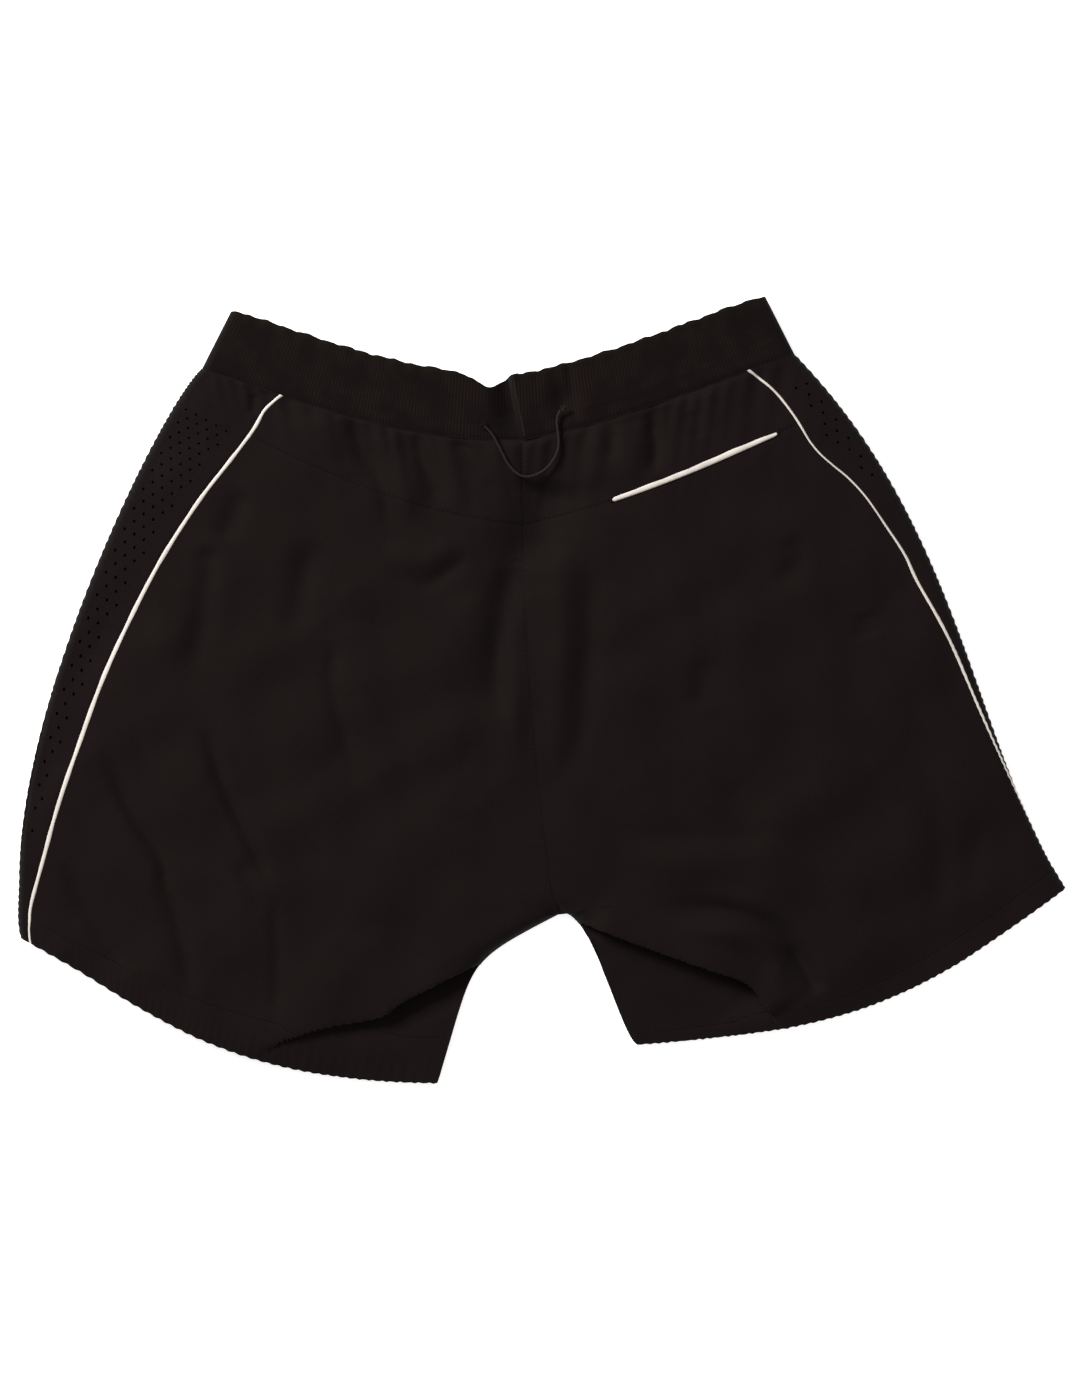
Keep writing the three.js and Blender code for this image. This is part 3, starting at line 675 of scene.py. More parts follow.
# ---- Materials -----------------------------------------------------------------------------------
def add_node(tree, kind, inputs=None, **settings):
    """One node with its settings and its inputs, each a value or another node's output."""
    made = tree.nodes.new("ShaderNode" + kind)
    for key, value in settings.items():
        setattr(made, key, value)
    for key, value in (inputs or {}).items():
        if isinstance(value, bpy.types.NodeSocket):
            tree.links.new(value, made.inputs[key])
        else:
            made.inputs[key].default_value = value
    return made


def new_material(name):
    """An empty material, and add_node bound to its tree."""
    made = bpy.data.materials.get(name) or bpy.data.materials.new(name)
    made.use_nodes = True
    made.node_tree.nodes.clear()
    return made, partial(add_node, made.node_tree)


def wave_scale(pitch):
    """Scale of a Wave Texture whose bands repeat every pitch metres."""
    return 2 * math.pi / 20 / pitch


def shade(base, factor):
    """A colour made lighter or darker."""
    return [*[min(1, c * factor) for c in base], 1]


def woven(name, base, finer=1, roughness=0.8, sheen=0.02, bump=0.35):
    """Filament polyester in plain weave: crossed threads that catch light by turns, a dry matt
    surface with a faint sheen, and slow unevenness of the dye. The threads are drawn wider than
    real ones, which would be too fine to show."""
    made, add = new_material(name)
    cloth = add("UVMap", uv_map="cloth").outputs["UV"]
    scale = wave_scale(bpy.context.scene.shorts_sizes.weave * finer)
    warp, weft = [
        add("TexWave", {"Vector": cloth, "Scale": scale, "Distortion": 0.6, "Detail": 1.0,
                        "Detail Scale": 2.0}, wave_type="BANDS", bands_direction=way).outputs["Fac"]
        for way in "XY"]
    cross = add("Math", {0: warp, 1: weft}, operation="MULTIPLY").outputs[0]
    slow = add("TexNoise", {"Vector": cloth, "Scale": 28.0, "Detail": 4.0, "Roughness": 0.6})
    slub = add("TexNoise", {"Vector": cloth, "Scale": 900.0, "Detail": 2.0, "Roughness": 0.7})
    tone = add("Math", {0: slub.outputs["Fac"], 1: 0.35, 2: 0.0}, operation="MULTIPLY_ADD")
    for value, share in ((cross, 0.3), (slow.outputs["Fac"], 0.45)):
        tone = add("Math", {0: value, 1: share, 2: tone.outputs[0]}, operation="MULTIPLY_ADD")
    ramp = add("Mix", {
        "Factor": tone.outputs[0], 6: shade(base, 1 / DYE_UNEVEN), 7: shade(base, DYE_UNEVEN)},
        data_type="RGBA")
    height = add("Math", {0: slub.outputs["Fac"], 1: 0.6, 2: cross}, operation="MULTIPLY_ADD")
    bumped = add("Bump", {"Strength": bump, "Distance": WEAVE_HEIGHT, "Height": height.outputs[0]})
    shader = add("BsdfPrincipled", {
        "Base Color": ramp.outputs[2], "Roughness": roughness, "Specular IOR Level": 0.05,
        "Sheen Weight": sheen, "Sheen Roughness": 0.5, "Normal": bumped.outputs["Normal"]})
    add("OutputMaterial", {"Surface": shader.outputs["BSDF"]})
    return made


def elastic(name, base):
    """Jacquard elastic: gathered ribs across the band, in blocks that alternate between ribbed
    and plain, with a duller, slightly brown black that is browner along the top edge."""
    made, add = new_material(name)
    cloth = add("UVMap", uv_map="cloth").outputs["UV"]
    pitch = bpy.context.scene.shorts_sizes.rib
    rib = add("TexWave", {"Vector": cloth, "Scale": wave_scale(pitch), "Distortion": 1.2, "Detail": 2.0,
                          "Detail Scale": 1.5}, wave_type="BANDS", bands_direction="X")
    row = add("TexWave", {"Vector": cloth, "Scale": wave_scale(ELASTIC_ROW), "Distortion": 0.4},
              wave_type="BANDS", bands_direction="Y")
    patch = add("TexNoise", {"Vector": cloth, "Scale": 46.0, "Detail": 2.0, "Roughness": 0.5})
    block = add("MapRange", {"Value": patch.outputs["Fac"], "From Min": 0.42, "From Max": 0.6})
    lit = add("Math", {0: rib.outputs["Fac"], 1: block.outputs["Result"]}, operation="MULTIPLY")
    tone = add("Math", {0: row.outputs["Fac"], 1: 0.2, 2: lit.outputs[0]}, operation="MULTIPLY_ADD")
    ramp = add("Mix", {"Factor": tone.outputs[0], 6: shade(base, 0.8), 7: shade(base, 1.45)},
               data_type="RGBA")
    across = add("SeparateXYZ", {"Vector": cloth})
    near_top = add("MapRange", {"Value": across.outputs["Y"], "From Min": (BAND_HEIGHT - 8) * MM,
                                "From Max": (BAND_HEIGHT - 1) * MM})
    brown = [base[0] * 1.45, base[1] * 1.6, base[2] * 1.2, 1]
    rim = add("Mix", {"Factor": near_top.outputs["Result"], 6: ramp.outputs[2], 7: brown}, data_type="RGBA")
    bumped = add("Bump", {"Strength": 0.4, "Distance": WEAVE_HEIGHT, "Height": tone.outputs[0]})
    shader = add("BsdfPrincipled", {
        "Base Color": rim.outputs[2], "Roughness": 0.85, "Specular IOR Level": 0.05,
        "Sheen Weight": 0.02, "Sheen Roughness": 0.5, "Normal": bumped.outputs["Normal"]})
    add("OutputMaterial", {"Surface": shader.outputs["BSDF"]})
    return made


def tape(name, base):
    """Reflective piping: a bead-coated tape, warm white, satin, with tiny cross creases."""
    made, add = new_material(name)
    cloth = add("UVMap", uv_map="cloth").outputs["UV"]
    crease = add("TexNoise", {"Vector": cloth, "Scale": 420.0, "Detail": 3.0, "Roughness": 0.6})
    soil = add("TexNoise", {"Vector": cloth, "Scale": 60.0, "Detail": 3.0, "Roughness": 0.6})
    ramp = add("Mix", {"Factor": soil.outputs["Fac"], 6: shade(base, 0.78), 7: shade(base, 1.08)},
               data_type="RGBA")
    bumped = add("Bump", {"Strength": 0.4, "Distance": WEAVE_HEIGHT, "Height": crease.outputs["Fac"]})
    shader = add("BsdfPrincipled", {
        "Base Color": ramp.outputs[2], "Roughness": 0.42, "Specular IOR Level": 0.4,
        "Normal": bumped.outputs["Normal"]})
    add("OutputMaterial", {"Surface": shader.outputs["BSDF"]})
    return made


def strands(name, base, twist=0.0009, roughness=0.7):
    """Twisted or braided polyester: fine slanting strands, a twist apart, with a soft gloss."""
    made, add = new_material(name)
    place = add("TexCoord").outputs["Object"]
    strand = add("TexWave", {"Vector": place, "Scale": wave_scale(twist), "Distortion": 0.5},
                 wave_type="BANDS", bands_direction="DIAGONAL").outputs["Fac"]
    ramp = add("Mix", {"Factor": strand, 6: shade(base, 0.65), 7: shade(base, 1.3)}, data_type="RGBA")
    bumped = add("Bump", {"Strength": 0.5, "Distance": 0.0003, "Height": strand})
    shader = add("BsdfPrincipled", {
        "Base Color": ramp.outputs[2], "Roughness": roughness, "Specular IOR Level": 0.08,
        "Normal": bumped.outputs["Normal"]})
    add("OutputMaterial", {"Surface": shader.outputs["BSDF"]})
    return made


def board(name, base):
    """Matt white background board, evenly lit, with the faintest unevenness."""
    made, add = new_material(name)
    place = add("TexCoord").outputs["Object"]
    mottle = add("TexNoise", {"Vector": place, "Scale": 3.0})
    ramp = add("Mix", {"Factor": mottle.outputs["Fac"], 6: shade(base, 0.99), 7: shade(base, 1.0)},
               data_type="RGBA")
    shader = add("BsdfPrincipled", {
        "Base Color": ramp.outputs[2], "Roughness": 0.9, "Specular IOR Level": 0.1,
        "Emission Color": (1, 1, 1, 1), "Emission Strength": 0.62})
    add("OutputMaterial", {"Surface": shader.outputs["BSDF"]})
    return made


# Each finish: how it is made, its common name, its colour and its settings.
FINISHES = {
    "woven_polyester": (woven, "plain weave polyester", "cloth", {}),
    "perforated_polyester": (
        woven, "perforated polyester knit", "panel", {"finer": 0.8, "roughness": 0.75, "bump": 0.5}),
    "pocket_lining": (
        woven, "pocketing", "lining", {"finer": 0.7, "roughness": 0.85, "sheen": 0.03, "bump": 0.3}),
    "jacquard_elastic": (elastic, "woven elastic", "elastic", {}),
    "reflective_tape": (tape, "beaded reflective tape", "tape", {}),
    "braided_cord": (strands, "braided polyester", "cord", {"twist": 0.0016, "roughness": 0.65}),
    "black_thread": (strands, "black sewing thread", "seam", {}),
    "grey_thread": (strands, "grey sewing thread", "join", {}),
    "floor_board": (board, "white board", "floor", {}),
}
MADE = {}


def material(finish):
    """The material of a finish, made once."""
    if finish not in MADE:
        maker, name, hue, settings = FINISHES[finish]
        MADE[finish] = maker(name, getattr(bpy.context.scene.shorts_colours, hue), **settings)
    return MADE[finish]


# ---- Stitching -----------------------------------------------------------------------------------
def resample(line, pitch):
    """Places every pitch along a line, and the way it runs at each."""
    steps = np.linalg.norm(np.diff(line, axis=0), axis=1)
    run = np.concatenate([[0], steps.cumsum()])
    count = max(2, int(run[-1] / pitch))
    at = (np.arange(count) + 0.5) * run[-1] / count
    place = np.stack([np.interp(at, run, line[:, k]) for k in range(3)], -1)
    ahead = np.stack([np.interp(at + 0.2, run, line[:, k]) for k in range(3)], -1)
    way = ahead - np.stack([np.interp(at - 0.2, run, line[:, k]) for k in range(3)], -1)
    return place, way / np.maximum(np.linalg.norm(way, axis=1, keepdims=True), 1e-9)


def stitches(name, places, ways, long, thread, finish="black_thread", stands_for=None):
    """One capsule of thread at every place, lying along its way: rings of six points whose
    radius follows a half sine, lowered at both ends as a pulled stitch is."""
    around = np.linspace(0, 2 * math.pi, 7)[:-1]
    along = np.array([-0.5, -0.38, 0, 0.38, 0.5])
    thick = np.array([0.35, 0.85, 1, 0.85, 0.35]) * thread / 2
    dip = np.array([-0.35, -0.1, 0, -0.1, -0.35]) * thread
    up = np.array([0, 0, 1.0])
    right = np.cross(ways, up)
    right /= np.maximum(np.linalg.norm(right, axis=1, keepdims=True), 1e-9)
    top = np.cross(right, ways)
    centre = (places[:, None] + ways[:, None] * (along * long)[None, :, None]
              + top[:, None] * dip[None, :, None])
    ring = np.cos(around)[:, None] * right[:, None, None] + np.sin(around)[:, None] * top[:, None, None]
    points = centre[:, :, None] + ring * thick[None, :, None, None]
    number = np.arange(len(places) * 30).reshape(-1, 5, 6)
    a, b = number[:, :-1], number[:, 1:]
    side = np.stack([a, np.roll(a, -1, 2), np.roll(b, -1, 2), b], -1).reshape(-1, 4)
    caps = [number[:, ring][:, order] for ring, order in (
        (0, (3, 2, 1, 0)), (0, (5, 4, 3, 0)), (4, (0, 1, 2, 3)), (4, (0, 3, 4, 5)))]
    quads = np.concatenate([side, *caps])
    return new_mesh(name, points, outward(points, quads), None, finish, stands_for)


# ---- Operators -----------------------------------------------------------------------------------
class SHORTS_OT_stage(bpy.types.Operator):
    """Pale floor, soft light from above left, and the camera looking straight down"""
    bl_idname = "shorts.stage"
    bl_label = "Stage"

    def execute(self, context):
        scene = context.scene
        mesh = bpy.data.meshes.new("floor")
        ways = ((-1, -1), (1, -1), (1, 1), (-1, 1))
        mesh.from_pydata([(x * FLOOR_HALF, y * FLOOR_HALF, FLOOR_LOW) for x, y in ways], [], [(0, 1, 2, 3)])
        floor = bpy.data.objects.new("floor", mesh)
        mesh.materials.append(material("floor_board"))
        scene.collection.objects.link(floor)

        world = bpy.data.worlds.new("studio")
        world.use_nodes = True
        sky = world.node_tree.nodes["Background"]
        sky.inputs["Color"].default_value = (1, 1, 1, 1)
        sky.inputs["Strength"].default_value = SKY_STRENGTH
        scene.world = world
        for name, place, across, watts in LAMPS:
            light = bpy.data.lights.new(name, "AREA")
            light.size = across
            light.energy = watts
            lamp = bpy.data.objects.new(name, light)
            lamp.location = place
            lamp.rotation_euler = (-Vector(place)).to_track_quat("-Z", "Y").to_euler()
            scene.collection.objects.link(lamp)

        camera = bpy.data.cameras.new("camera")
        camera.lens = LENS
        camera.sensor_width = FILM
        camera.dof.use_dof = False
        eye = bpy.data.objects.new("camera", camera)
        eye.location = (*AIM, TOP * MM + VIEW_WIDTH * LENS / camera.sensor_width)
        scene.collection.objects.link(eye)
        scene.camera = eye
        scene.view_settings.view_transform = "Standard"
        return {"FINISHED"}


class SHORTS_OT_cord(bpy.types.Operator):
    """Thin braided cord in a U from one anchor in the band to the other, with stitched ends"""
    bl_idname = "shorts.cord"
    bl_label = "Cord loop"

    def execute(self, context):
        thick = context.scene.shorts_sizes.cord
        route = np.array([[x, y, 0] for x, y in CORD_ROUTE], float)
        route[:, 2] = TOP + 0.9 + thick / MM / 2
        points = (route + SHIFT) * MM
        curve = bpy.data.curves.new("cord_loop_braid", "CURVE")
        curve.dimensions = "3D"
        curve.bevel_depth = thick / 2
        curve.bevel_resolution = 3
        curve.use_fill_caps = True
        spline = curve.splines.new("NURBS")
        spline.points.add(len(points) - 1)
        spline.points.foreach_set("co", np.column_stack([points, np.ones(len(points))]).ravel())
        spline.use_endpoint_u = True
        spline.order_u = 4
        spline.resolution_u = 6
        curve.materials.append(material("braided_cord"))
        braid = bpy.data.objects.new("cord_loop_braid", curve)
        context.scene.collection.objects.link(braid)
        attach(braid, BODY)
        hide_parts("cord_loop")
        for name, end, turn, aside, finish in (
                ("left", route[0], 0.7, (-0.5, 0.5, 0), "black_thread"),
                ("right", route[-1], -0.1, (2.2, 1.2, 0.2), "braided_cord")):
            angles = turn + np.array([0, 0.45, 1.0, 1.6, 2.5])
            ways = np.stack([np.cos(angles), np.sin(angles), 0 * angles], -1)
            places = end + np.array(aside) + np.array([0, 0, 0.2]) * np.arange(5)[:, None] + ways * 0.4
            stitches(f"cord_anchor_{name}_stitches", places, ways, 5.0, 0.8, finish, f"cord_anchor_{name}")
        return {"FINISHED"}


def band_place(distance, height, total):
    """A place on the band's plan: along the seam by distance, up along the lean of that spot."""
    t = np.linspace(0, 1, 400)
    left = bezier(LEG["left"].waist[::-1], t)
    line = np.concatenate([left, bezier(LEG["right"].waist, t)[1:]])
    run = np.concatenate([[0], np.linalg.norm(np.diff(line, axis=0), axis=1).cumsum()])
    share = distance / total
    lean = np.radians(BAND_END_LEAN * (1 - 2 * share))
    x = np.interp(distance, run, line[:, 0]) + height * np.sin(lean)
    y = np.interp(distance, run, line[:, 1]) + height * np.cos(lean)
    return x, y


def seam_length(name=None):
    """Length of one leg's waist seam, or of both."""
    t = np.linspace(0, 1, 400)
    names = [name] if name else list(LEG)
    return sum(np.linalg.norm(np.diff(bezier(LEG[n].waist, t), axis=0), axis=1).sum() for n in names)


def band_join(height):
    """Distance along the band to its slanting join."""
    return seam_length("left") + JOIN_AT - JOIN_SLANT * height / BAND_HEIGHT


def band_relief(distance, height):
    """Relief of the band's upper face: ribs in patches, slow waves, a stitched ridge low down and
    a rolled top edge. Left of the join the band sinks under it, and it dents past the cord's
    other end."""
    up = height / BAND_HEIGHT
    patch = smooth(0.5 + 0.9 * np.sin(distance / 11 + 2 * np.sin(distance / 37)) * np.sin(distance / 23 + 1))
    tall = smooth((up - 0.36) / 0.1) * smooth((0.93 - up) / 0.08)
    ribs = 0.14 * np.sin(distance * 2 * math.pi / 2.6 + 1.2 * np.sin(distance / 15)) * patch * tall
    edge = 0.35 * np.sin(distance / 2.35 + 1.1 * np.sin(distance / 19)) * np.exp(-((up - 1) / 0.16) ** 2)
    slow = 0.45 * np.sin(distance / 9 + 1 + 2 * up) * np.sin(distance / 31) * (0.4 + 0.6 * up)
    ridge = 0.2 * np.exp(-((up - 0.27) / 0.035) ** 2)
    roll = 0.7 * np.exp(-((up - 0.97) / 0.06) ** 2)
    hem = -0.8 * np.exp(-(height / 2) ** 2)
    from_join = distance - band_join(height)
    sink = -8.5 * smooth((from_join + 24) / 18) * smooth(-from_join / 4) * (0.3 + 0.7 * smooth(up * 2.2))
    lap = 0.9 * smooth((from_join + 2) / 3) * smooth((18 - from_join) / 18)
    dent = -4.2 * np.exp(-((from_join - 33) / 8) ** 2 - ((up - 0.52) / 0.24) ** 2)
    crease = -1.6 * np.exp(-((from_join - 41 - 6 * (up - 0.5)) / 3.5) ** 2) * smooth(up * 2)
    return ribs + edge + slow + ridge + roll + hem + sink + lap + dent + crease


class SHORTS_OT_waistband(bpy.types.Operator):
    """Gathered elastic waistband as one flattened ring, with its join and seam stitching"""
    bl_idname = "shorts.waistband"
    bl_label = "Waistband"

    def execute(self, context):
        total = seam_length()
        thick = BAND_THICKNESS * 0.7
        high, low = TOP - BAND_THICKNESS / 2, BAND_THICKNESS / 2
        radius = (high - low) / 2
        start = BAND_THICKNESS / 2 + radius
        flat, turn = total - 2 * start, math.pi * radius
        upper = np.linspace(0, flat, 480)
        lower = np.linspace(flat + turn, 2 * flat + turn, 130)
        arc = np.linspace(0, turn, 18)[1:-1]
        p = np.concatenate([upper, flat + arc, lower, 2 * flat + turn + arc])
        rows = np.linspace(0, 1, 52)
        p, t = np.meshgrid(p, rows)
        angle1, angle2 = (p - flat) / radius, (p - 2 * flat - turn) / radius
        stretches = [p <= flat, p < flat + turn, p <= 2 * flat + turn]
        distance = np.select(
            stretches,
            [start + p, start + flat + radius * np.sin(angle1), start + 2 * flat + turn - p],
            start - radius * np.sin(angle2))
        z = np.select(
            stretches,
            [np.full(p.shape, high), low + radius * (1 + np.cos(angle1)), np.full(p.shape, low)],
            low + radius * (1 - np.cos(angle2)))
        scallop = (0.34 * np.sin(distance / 2.35 + 1.6 * np.sin(distance / 19))
                   + 0.3 * np.sin(distance / 5.3 + 2) + 0.1 * np.sin(distance / 1.1))
        scallop -= 2.5 * np.exp(-(distance / 4) ** 2) + 1.5 * np.exp(-((total - distance) / 7) ** 2)
        from_dip = distance - band_join(BAND_HEIGHT) + 17.5
        notch = -9 * np.exp(-(from_dip / np.where(from_dip < 0, 15, 12)) ** 2)
        height = -0.6 + (BAND_HEIGHT + 0.6 + (scallop + notch) * t ** 2) * t
        x, y = band_place(distance, height, total)
        ends = smooth((distance - 4) / 14) * smooth((total - 4 - distance) / 14)
        z = z + np.where(p <= flat, band_relief(distance, height) * ends, 0)
        points = np.stack([x, y, z], -1)
        sheet_piece("waistband", points, thick, "jacquard_elastic", "waistband_elastic",
                    uv=np.stack([p, height], -1), closed=True)

        def on_band(distance, height, raise_by):
            """Places on the band's upper face, raised above it."""
            x, y = band_place(distance, height, total)
            return np.stack([x, y, high + band_relief(distance, height) + thick / 2 + raise_by], -1)

        thread = size("thread")
        tooth = np.linspace(0, 1, 40)
        zigzag = np.where(np.arange(40) % 2, 0.5, -0.5)
        rise = 2 + tooth * (BAND_HEIGHT - 3.5)
        line = on_band(band_join(rise) + zigzag, rise, thread * 0.1)
        middle = (line[1:] + line[:-1]) / 2
        way = line[1:] - line[:-1]
        long = np.linalg.norm(way, axis=1, keepdims=True)
        stitches("band_join_zigzag", middle, way / long, float(long.mean()) * 1.05, thread * 0.9,
                 "grey_thread", "band_join_stitching")

        along = np.linspace(10, total - 10, 900)
        for row, height in enumerate((2.2, 4.6)):
            line = on_band(along, np.full(along.shape, height), 0)
            places, ways = resample(line, size("stitch") * 1.25)
            stitches(f"band_seam_stitching_{row + 1}", places, ways, size("stitch"), thread * 0.9)
        return {"FINISHED"}


def panel_grid(leg, face, top, bottom, grid, tucked=False):
    """Grid of a panel: s runs from one edge to the other and t down from its top line to its bottom
    one. The back runs from the centre to the back piping, the front from the front piping to the
    centre."""
    s, t = unit_grid(grid[0], grid[1])
    lines = {"waist": 0 * s, "yoke": leg.yoke(s), "hem": 1 + 0 * s}
    v = lines[top] + (lines[bottom] - lines[top]) * t
    if face == "back":
        start, end = leg.reach(v) + 0.06, leg.back_edge(v)
    else:
        start, end = leg.front_seam(v) - PIPING_WIDTH - 0.1, -leg.reach(v) + 0.05
    wrap = start + (end - start) * s
    return back_layer(leg, wrap, v, tucked), s, wrap, v


def hemmed(to_hem, share=1):
    """Thickness of a ply, and of its turned hem within a hem's depth of the edge."""
    return size("cloth") + (size("hem") - size("cloth")) * share * smooth((HEM_DEPTH - to_hem) / 1.5)


def seam_dip(distance, depth=0.55, width=1.6):
    """A seam draws the cloth down beside it, by a Gaussian of the distance."""
    return -depth * np.exp(-(distance / width) ** 2)


class SHORTS_OT_yokes(bpy.types.Operator):
    """Back yokes between the band and the yoke seam"""
    bl_idname = "shorts.yokes"
    bl_label = "Back yokes"

    def execute(self, context):
        for name, leg in LEG.items():
            points, s, wrap, v = panel_grid(leg, "back", "waist", "yoke", (190, 50))
            seam = (leg.yoke(s) - v) * SIDE_LENGTH
            points[..., 2] += seam_dip(seam, 0.22) + seam_dip(leg.reach(v) - wrap, 0.12)
            points[..., 2] -= 1.1 * np.exp(-(v * SIDE_LENGTH / 2) ** 2)
            panel_piece(f"yoke_{name}", points, size("cloth"), "woven_polyester", f"back_yoke_{name}")
        return {"FINISHED"}


class SHORTS_OT_back_panels(bpy.types.Operator):
    """Main back panels, with the fold that turns the inner corner of each leg under"""
    bl_idname = "shorts.back_panels"
    bl_label = "Back panels"

    def execute(self, context):
        for name, leg in LEG.items():
            points, s, wrap, v = panel_grid(leg, "back", "yoke", "hem", (170, 230), tucked=True)
            yoke = (v - leg.yoke(s)) * SIDE_LENGTH
            rise = np.where(v < CROTCH_SHARE, leg.reach(v) - wrap, 99)
            points[..., 2] += seam_dip(yoke, 0.22) + seam_dip(rise, 0.12)
            to_hem = (1 - v) * SIDE_LENGTH
            rope = np.sin(s * leg.hem_lies / 1.02 + 1.2 * np.sin(s * 14)) * smooth(1 - to_hem / HEM_DEPTH)
            points[..., 2] += 0.22 * rope
            panel_piece(f"panel_{name}", points, hemmed(to_hem), "woven_polyester", f"back_panel_{name}")
        return {"FINISHED"}


class SHORTS_OT_front_panels(bpy.types.Operator):
    """Front panels, lying on the ground under the back"""
    bl_idname = "shorts.front_panels"
    bl_label = "Front panels"

    def execute(self, context):
        for name, leg in LEG.items():
            points, _, _, v = panel_grid(leg, "front", "waist", "hem", (110, 150))
            thick = hemmed((1 - v) * SIDE_LENGTH, 0.6)
            points[..., 2] = np.maximum(points[..., 2], thick / 2)
            panel_piece(f"front_{name}", points, thick, "woven_polyester", f"front_panel_{name}")
        return {"FINISHED"}


class SHORTS_OT_side_panels(bpy.types.Operator):
    """Side panels that wrap round the folded sides, punched with staggered ventilation holes"""
    bl_idname = "shorts.side_panels"
    bl_label = "Perforated side panels"

    def execute(self, context):
        pitch, radius = size("hole_pitch"), size("hole") / 2
        for name, leg in LEG.items():
            s, t = unit_grid(110, 420)
            start = leg.side_edge(t)
            end = leg.front_seam(t) + 0.1
            wrap = start + (end - start) * s
            v = t
            # Holes sit on a staggered lattice of the flat panel, in a stripe beside each piping. The
            # points just outside a hole's rim are drawn onto it, so that the rim is round.
            row = np.round(v * SIDE_LENGTH / (pitch * ROW_SPACING))
            shift = np.where(row % 2, 0.5, 0.0)
            column = (np.round(wrap / pitch - shift) + shift) * pitch
            down = row * pitch * ROW_SPACING
            dx, dy = wrap - column, v * SIDE_LENGTH - down
            from_edge = np.minimum(start - column, column - end)
            inside = (from_edge > HOLE_STRIPE[0]) & (from_edge < HOLE_STRIPE[1])
            inside &= (np.abs(column) > HOLE_FROM_FOLD)
            inside &= (down > leg.holes_from) & (down < SIDE_LENGTH - HOLES_ABOVE_HEM)
            gap = np.hypot(dx, dy)
            near = inside & (gap < radius * 1.35)
            factor = np.where(near & (gap > 1e-6), radius / np.maximum(gap, 1e-6), 1)
            wrap = wrap + dx * (factor - 1)
            v = np.clip(v + dy * (factor - 1) / SIDE_LENGTH, 0, 1)
            side = back_layer(leg, wrap, v)
            edge = np.minimum(start - wrap, wrap - end)
            side[..., 2] += np.where(wrap > QUARTER_TURN, seam_dip(edge, 0.4), 0)
            punched = near & (column > 0)  # the lower face, which lies on the floor, is left whole
            keep = ~(punched[:-1, :-1] & punched[1:, :-1] & punched[:-1, 1:] & punched[1:, 1:])
            piece = sheet_piece(f"side_{name}", side, size("cloth"), "perforated_polyester",
                                f"side_panel_{name}", uv=np.stack([wrap, v * SIDE_LENGTH], -1), keep=keep)
            # The black seam allowance behind the front piping, which shows through the holes.
            s, t = unit_grid(9, 200)
            points = back_layer(leg, leg.front_seam(t) - PIPING_WIDTH / 2 + ALLOWANCE * (1 - 2 * s), t)
            points[..., 2] += 1.1
            allowance = sheet_piece(f"seam_allowance_{name}", points, size("cloth"), "woven_polyester")
            declare_sheet(side)
        return {"FINISHED"}


class SHORTS_OT_piping(bpy.types.Operator):
    """Reflective piping along both edges of each side panel"""
    bl_idname = "shorts.piping"
    bl_label = "Side piping"

    def execute(self, context):
        for name, leg in LEG.items():
            for face, seam in (("back", leg.back_seam), ("front", leg.front_seam)):
                s, t = unit_grid(11, 560)
                wrap = seam(t) - PIPING_WIDTH / 2 + (leg.piping_half(t) + 0.4) * (1 - 2 * s)
                points = back_layer(leg, wrap, t)
                # The strip stands up as a low round bead between the panels' turned edges.
                crown = 0.95 * np.sqrt(np.maximum(0, 1 - (2 * s - 1) ** 2)) - 0.55
                points = points - leg.side * grid_normals(points) * crown[..., None]
                points[..., 2] = np.maximum(points[..., 2], 0.3)
                sheet_piece(f"piping_{face}_{name}", points, 0.5, "reflective_tape",
                            f"{face}_piping_{name}")
        return {"FINISHED"}


def at_pocket(distance, below):
    """Place on the right leg by distance from the centre seam and below the yoke seam."""
    leg = LEG["right"]
    v0 = leg.yoke(np.array(0.5))
    line = leg.reach(v0) - leg.back_seam(v0)
    v = leg.yoke(distance / line) + below / SIDE_LENGTH
    return leg.reach(v) - distance, v


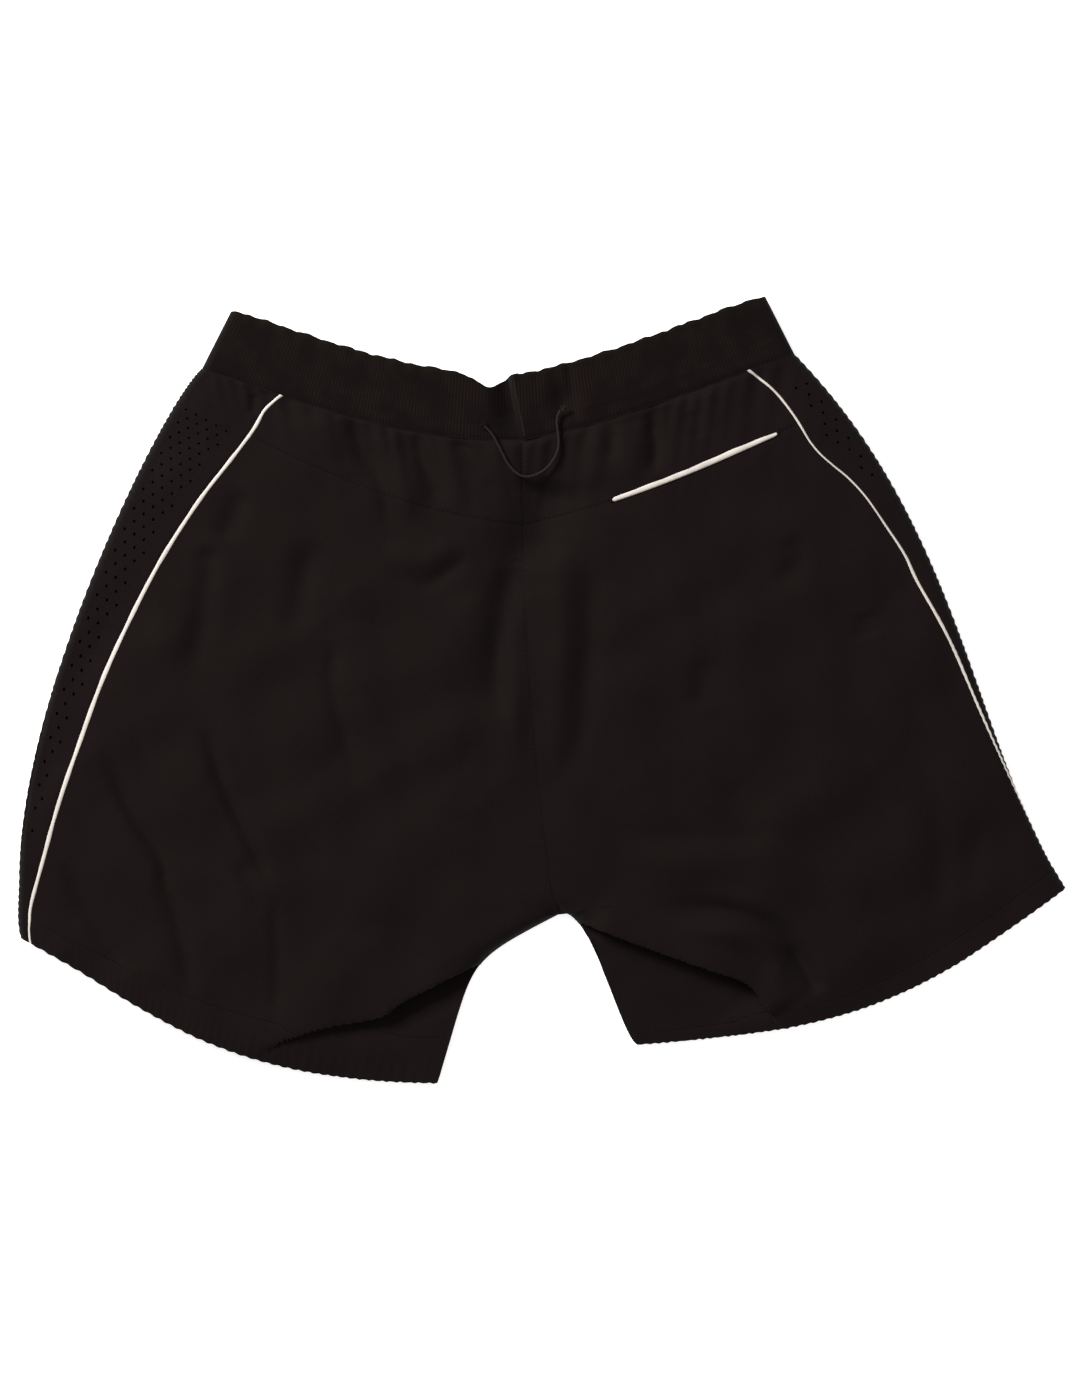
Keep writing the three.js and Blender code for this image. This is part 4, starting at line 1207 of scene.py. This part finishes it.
class SHORTS_OT_pocket(bpy.types.Operator):
    """Welt pocket: reflective lip, bar tacks at its ends and the bag that hangs inside"""
    bl_idname = "shorts.pocket"
    bl_label = "Back pocket"

    def execute(self, context):
        leg = LEG["right"]
        s, t = unit_grid(240, 11)
        wobble = 0.25 * np.sin(s * 9 + 1) + 0.12 * np.sin(s * 37) - 1.3 * (2 * s - 1) ** 2
        rounded = np.sqrt(1 - 0.97 * np.clip(np.abs(2 * s - 1) / 0.035 - 0.965 / 0.035, 0, 1) ** 2)
        below = (POCKET_LIP - 1 + wobble) * (rounded * (t - 0.5) - 0.5)
        wrap, v = at_pocket(POCKET_INSET + s * POCKET_MOUTH, below)
        points = back_layer(leg, wrap, v)
        points[..., 2] += 0.5 + 0.6 * (1 - (2 * t - 1) ** 4)
        sheet_piece("pocket_lip", points, 0.8, "reflective_tape", "pocket_piping")
        for name, distance, way in (("inner", POCKET_INSET, -1), ("outer", POCKET_INSET + POCKET_MOUTH, 1)):
            step = np.linspace(-3.2, 0.1, 12)
            wrap, v = at_pocket(np.full(12, distance + way * 0.9), step)
            places = back_layer(leg, wrap, v)
            places[:, 2] += 0.6
            ahead = back_layer(leg, wrap - 1, v) - back_layer(leg, wrap + 1, v)
            ahead[:, 2] = 0
            ahead /= np.linalg.norm(ahead, axis=1, keepdims=True)
            stitches(f"pocket_bartack_{name}", places, ahead, 2.4, size("thread") * 1.3,
                     stands_for=f"pocket_tack_{name}")
        for ply, name in enumerate(("outer", "inner")):
            s, t = unit_grid(40, 44)
            near = POCKET_INSET - POCKET_MARGIN
            wide = POCKET_MOUTH + 2 * POCKET_MARGIN
            wrap, v = at_pocket(near + s * wide, 1 + t * POCKET_DEPTH)
            points = back_layer(leg, wrap, v)
            points[..., 2] -= 1.0 + 0.9 * ply
            panel_piece(f"bag_{name}", points, 0.35, "pocket_lining", f"pocket_bag_{name}")
        return {"FINISHED"}


class SHORTS_OT_stitching(bpy.types.Operator):
    """Rows of stitching beside the yoke and centre seams and above the hems"""
    bl_idname = "shorts.stitching"
    bl_label = "Seam stitching"

    def execute(self, context):
        long, thread = size("stitch"), size("thread")
        for name, leg in LEG.items():
            s = np.linspace(0.004, 0.985, 700)
            yoke_v = leg.yoke(s) - 1.6 / SIDE_LENGTH
            yoke_wrap = leg.reach(yoke_v) + (leg.back_seam(yoke_v) - leg.reach(yoke_v)) * s
            rise_v = np.linspace(0.004, CROTCH_SHARE - 0.02, 700)
            hem_s = np.linspace(0.01, 0.985, 900)
            hem_v = np.full(900, 1 - HEM_DEPTH / SIDE_LENGTH)
            hem_wrap = leg.reach(hem_v) + (leg.back_seam(hem_v) - leg.reach(hem_v)) * hem_s
            rows = [
                ("yoke_stitching", yoke_wrap, yoke_v, False),
                ("hem_stitching", hem_wrap, hem_v, True),
            ]
            if name == "left":
                rows.append(("centre_stitching", leg.reach(rise_v) - 1.8, rise_v, False))
            for title, wrap, v, tucked in rows:
                line = back_layer(leg, wrap, v, tucked)
                line[:, 2] += size("hem" if tucked else "cloth") / 2 + thread * 0.15
                places, ways = resample(line, long * 1.3)
                stitches(f"{title}_{name}", places, ways, long, thread)
        return {"FINISHED"}


STEPS = (
    SHORTS_OT_stage, SHORTS_OT_cord, SHORTS_OT_waistband, SHORTS_OT_yokes, SHORTS_OT_back_panels,
    SHORTS_OT_front_panels, SHORTS_OT_side_panels, SHORTS_OT_piping, SHORTS_OT_pocket,
    SHORTS_OT_stitching,
)


class SHORTS_PT_panel(bpy.types.Panel):
    """Lists the steps that build the shorts and the sizes and colours behind them"""
    bl_idname = "SHORTS_PT_panel"
    bl_label = "Shorts"
    bl_space_type = "VIEW_3D"
    bl_region_type = "UI"
    bl_category = "Shorts"

    def draw(self, context):
        for step in STEPS:
            self.layout.operator(step.bl_idname)
        for group in (context.scene.shorts_sizes, context.scene.shorts_colours):
            for key in group.bl_rna.properties.keys():
                if key not in ("rna_type", "name"):
                    self.layout.prop(group, key)


CLASSES = (ShortsSizes, ShortsColours, *STEPS, SHORTS_PT_panel)


def register():
    """Adds the sizes, colours, steps and panel to Blender."""
    for made in CLASSES:
        bpy.utils.register_class(made)
    bpy.types.Scene.shorts_sizes = bpy.props.PointerProperty(type=ShortsSizes)
    bpy.types.Scene.shorts_colours = bpy.props.PointerProperty(type=ShortsColours)


def unregister():
    """Takes them out again."""
    del bpy.types.Scene.shorts_sizes
    del bpy.types.Scene.shorts_colours
    for made in reversed(CLASSES):
        bpy.utils.unregister_class(made)


def main():
    """Builds the shorts."""
    register()
    for step in STEPS:
        group, name = step.bl_idname.split(".")
        getattr(getattr(bpy.ops, group), name)()


if __name__ == "__main__":
    main()
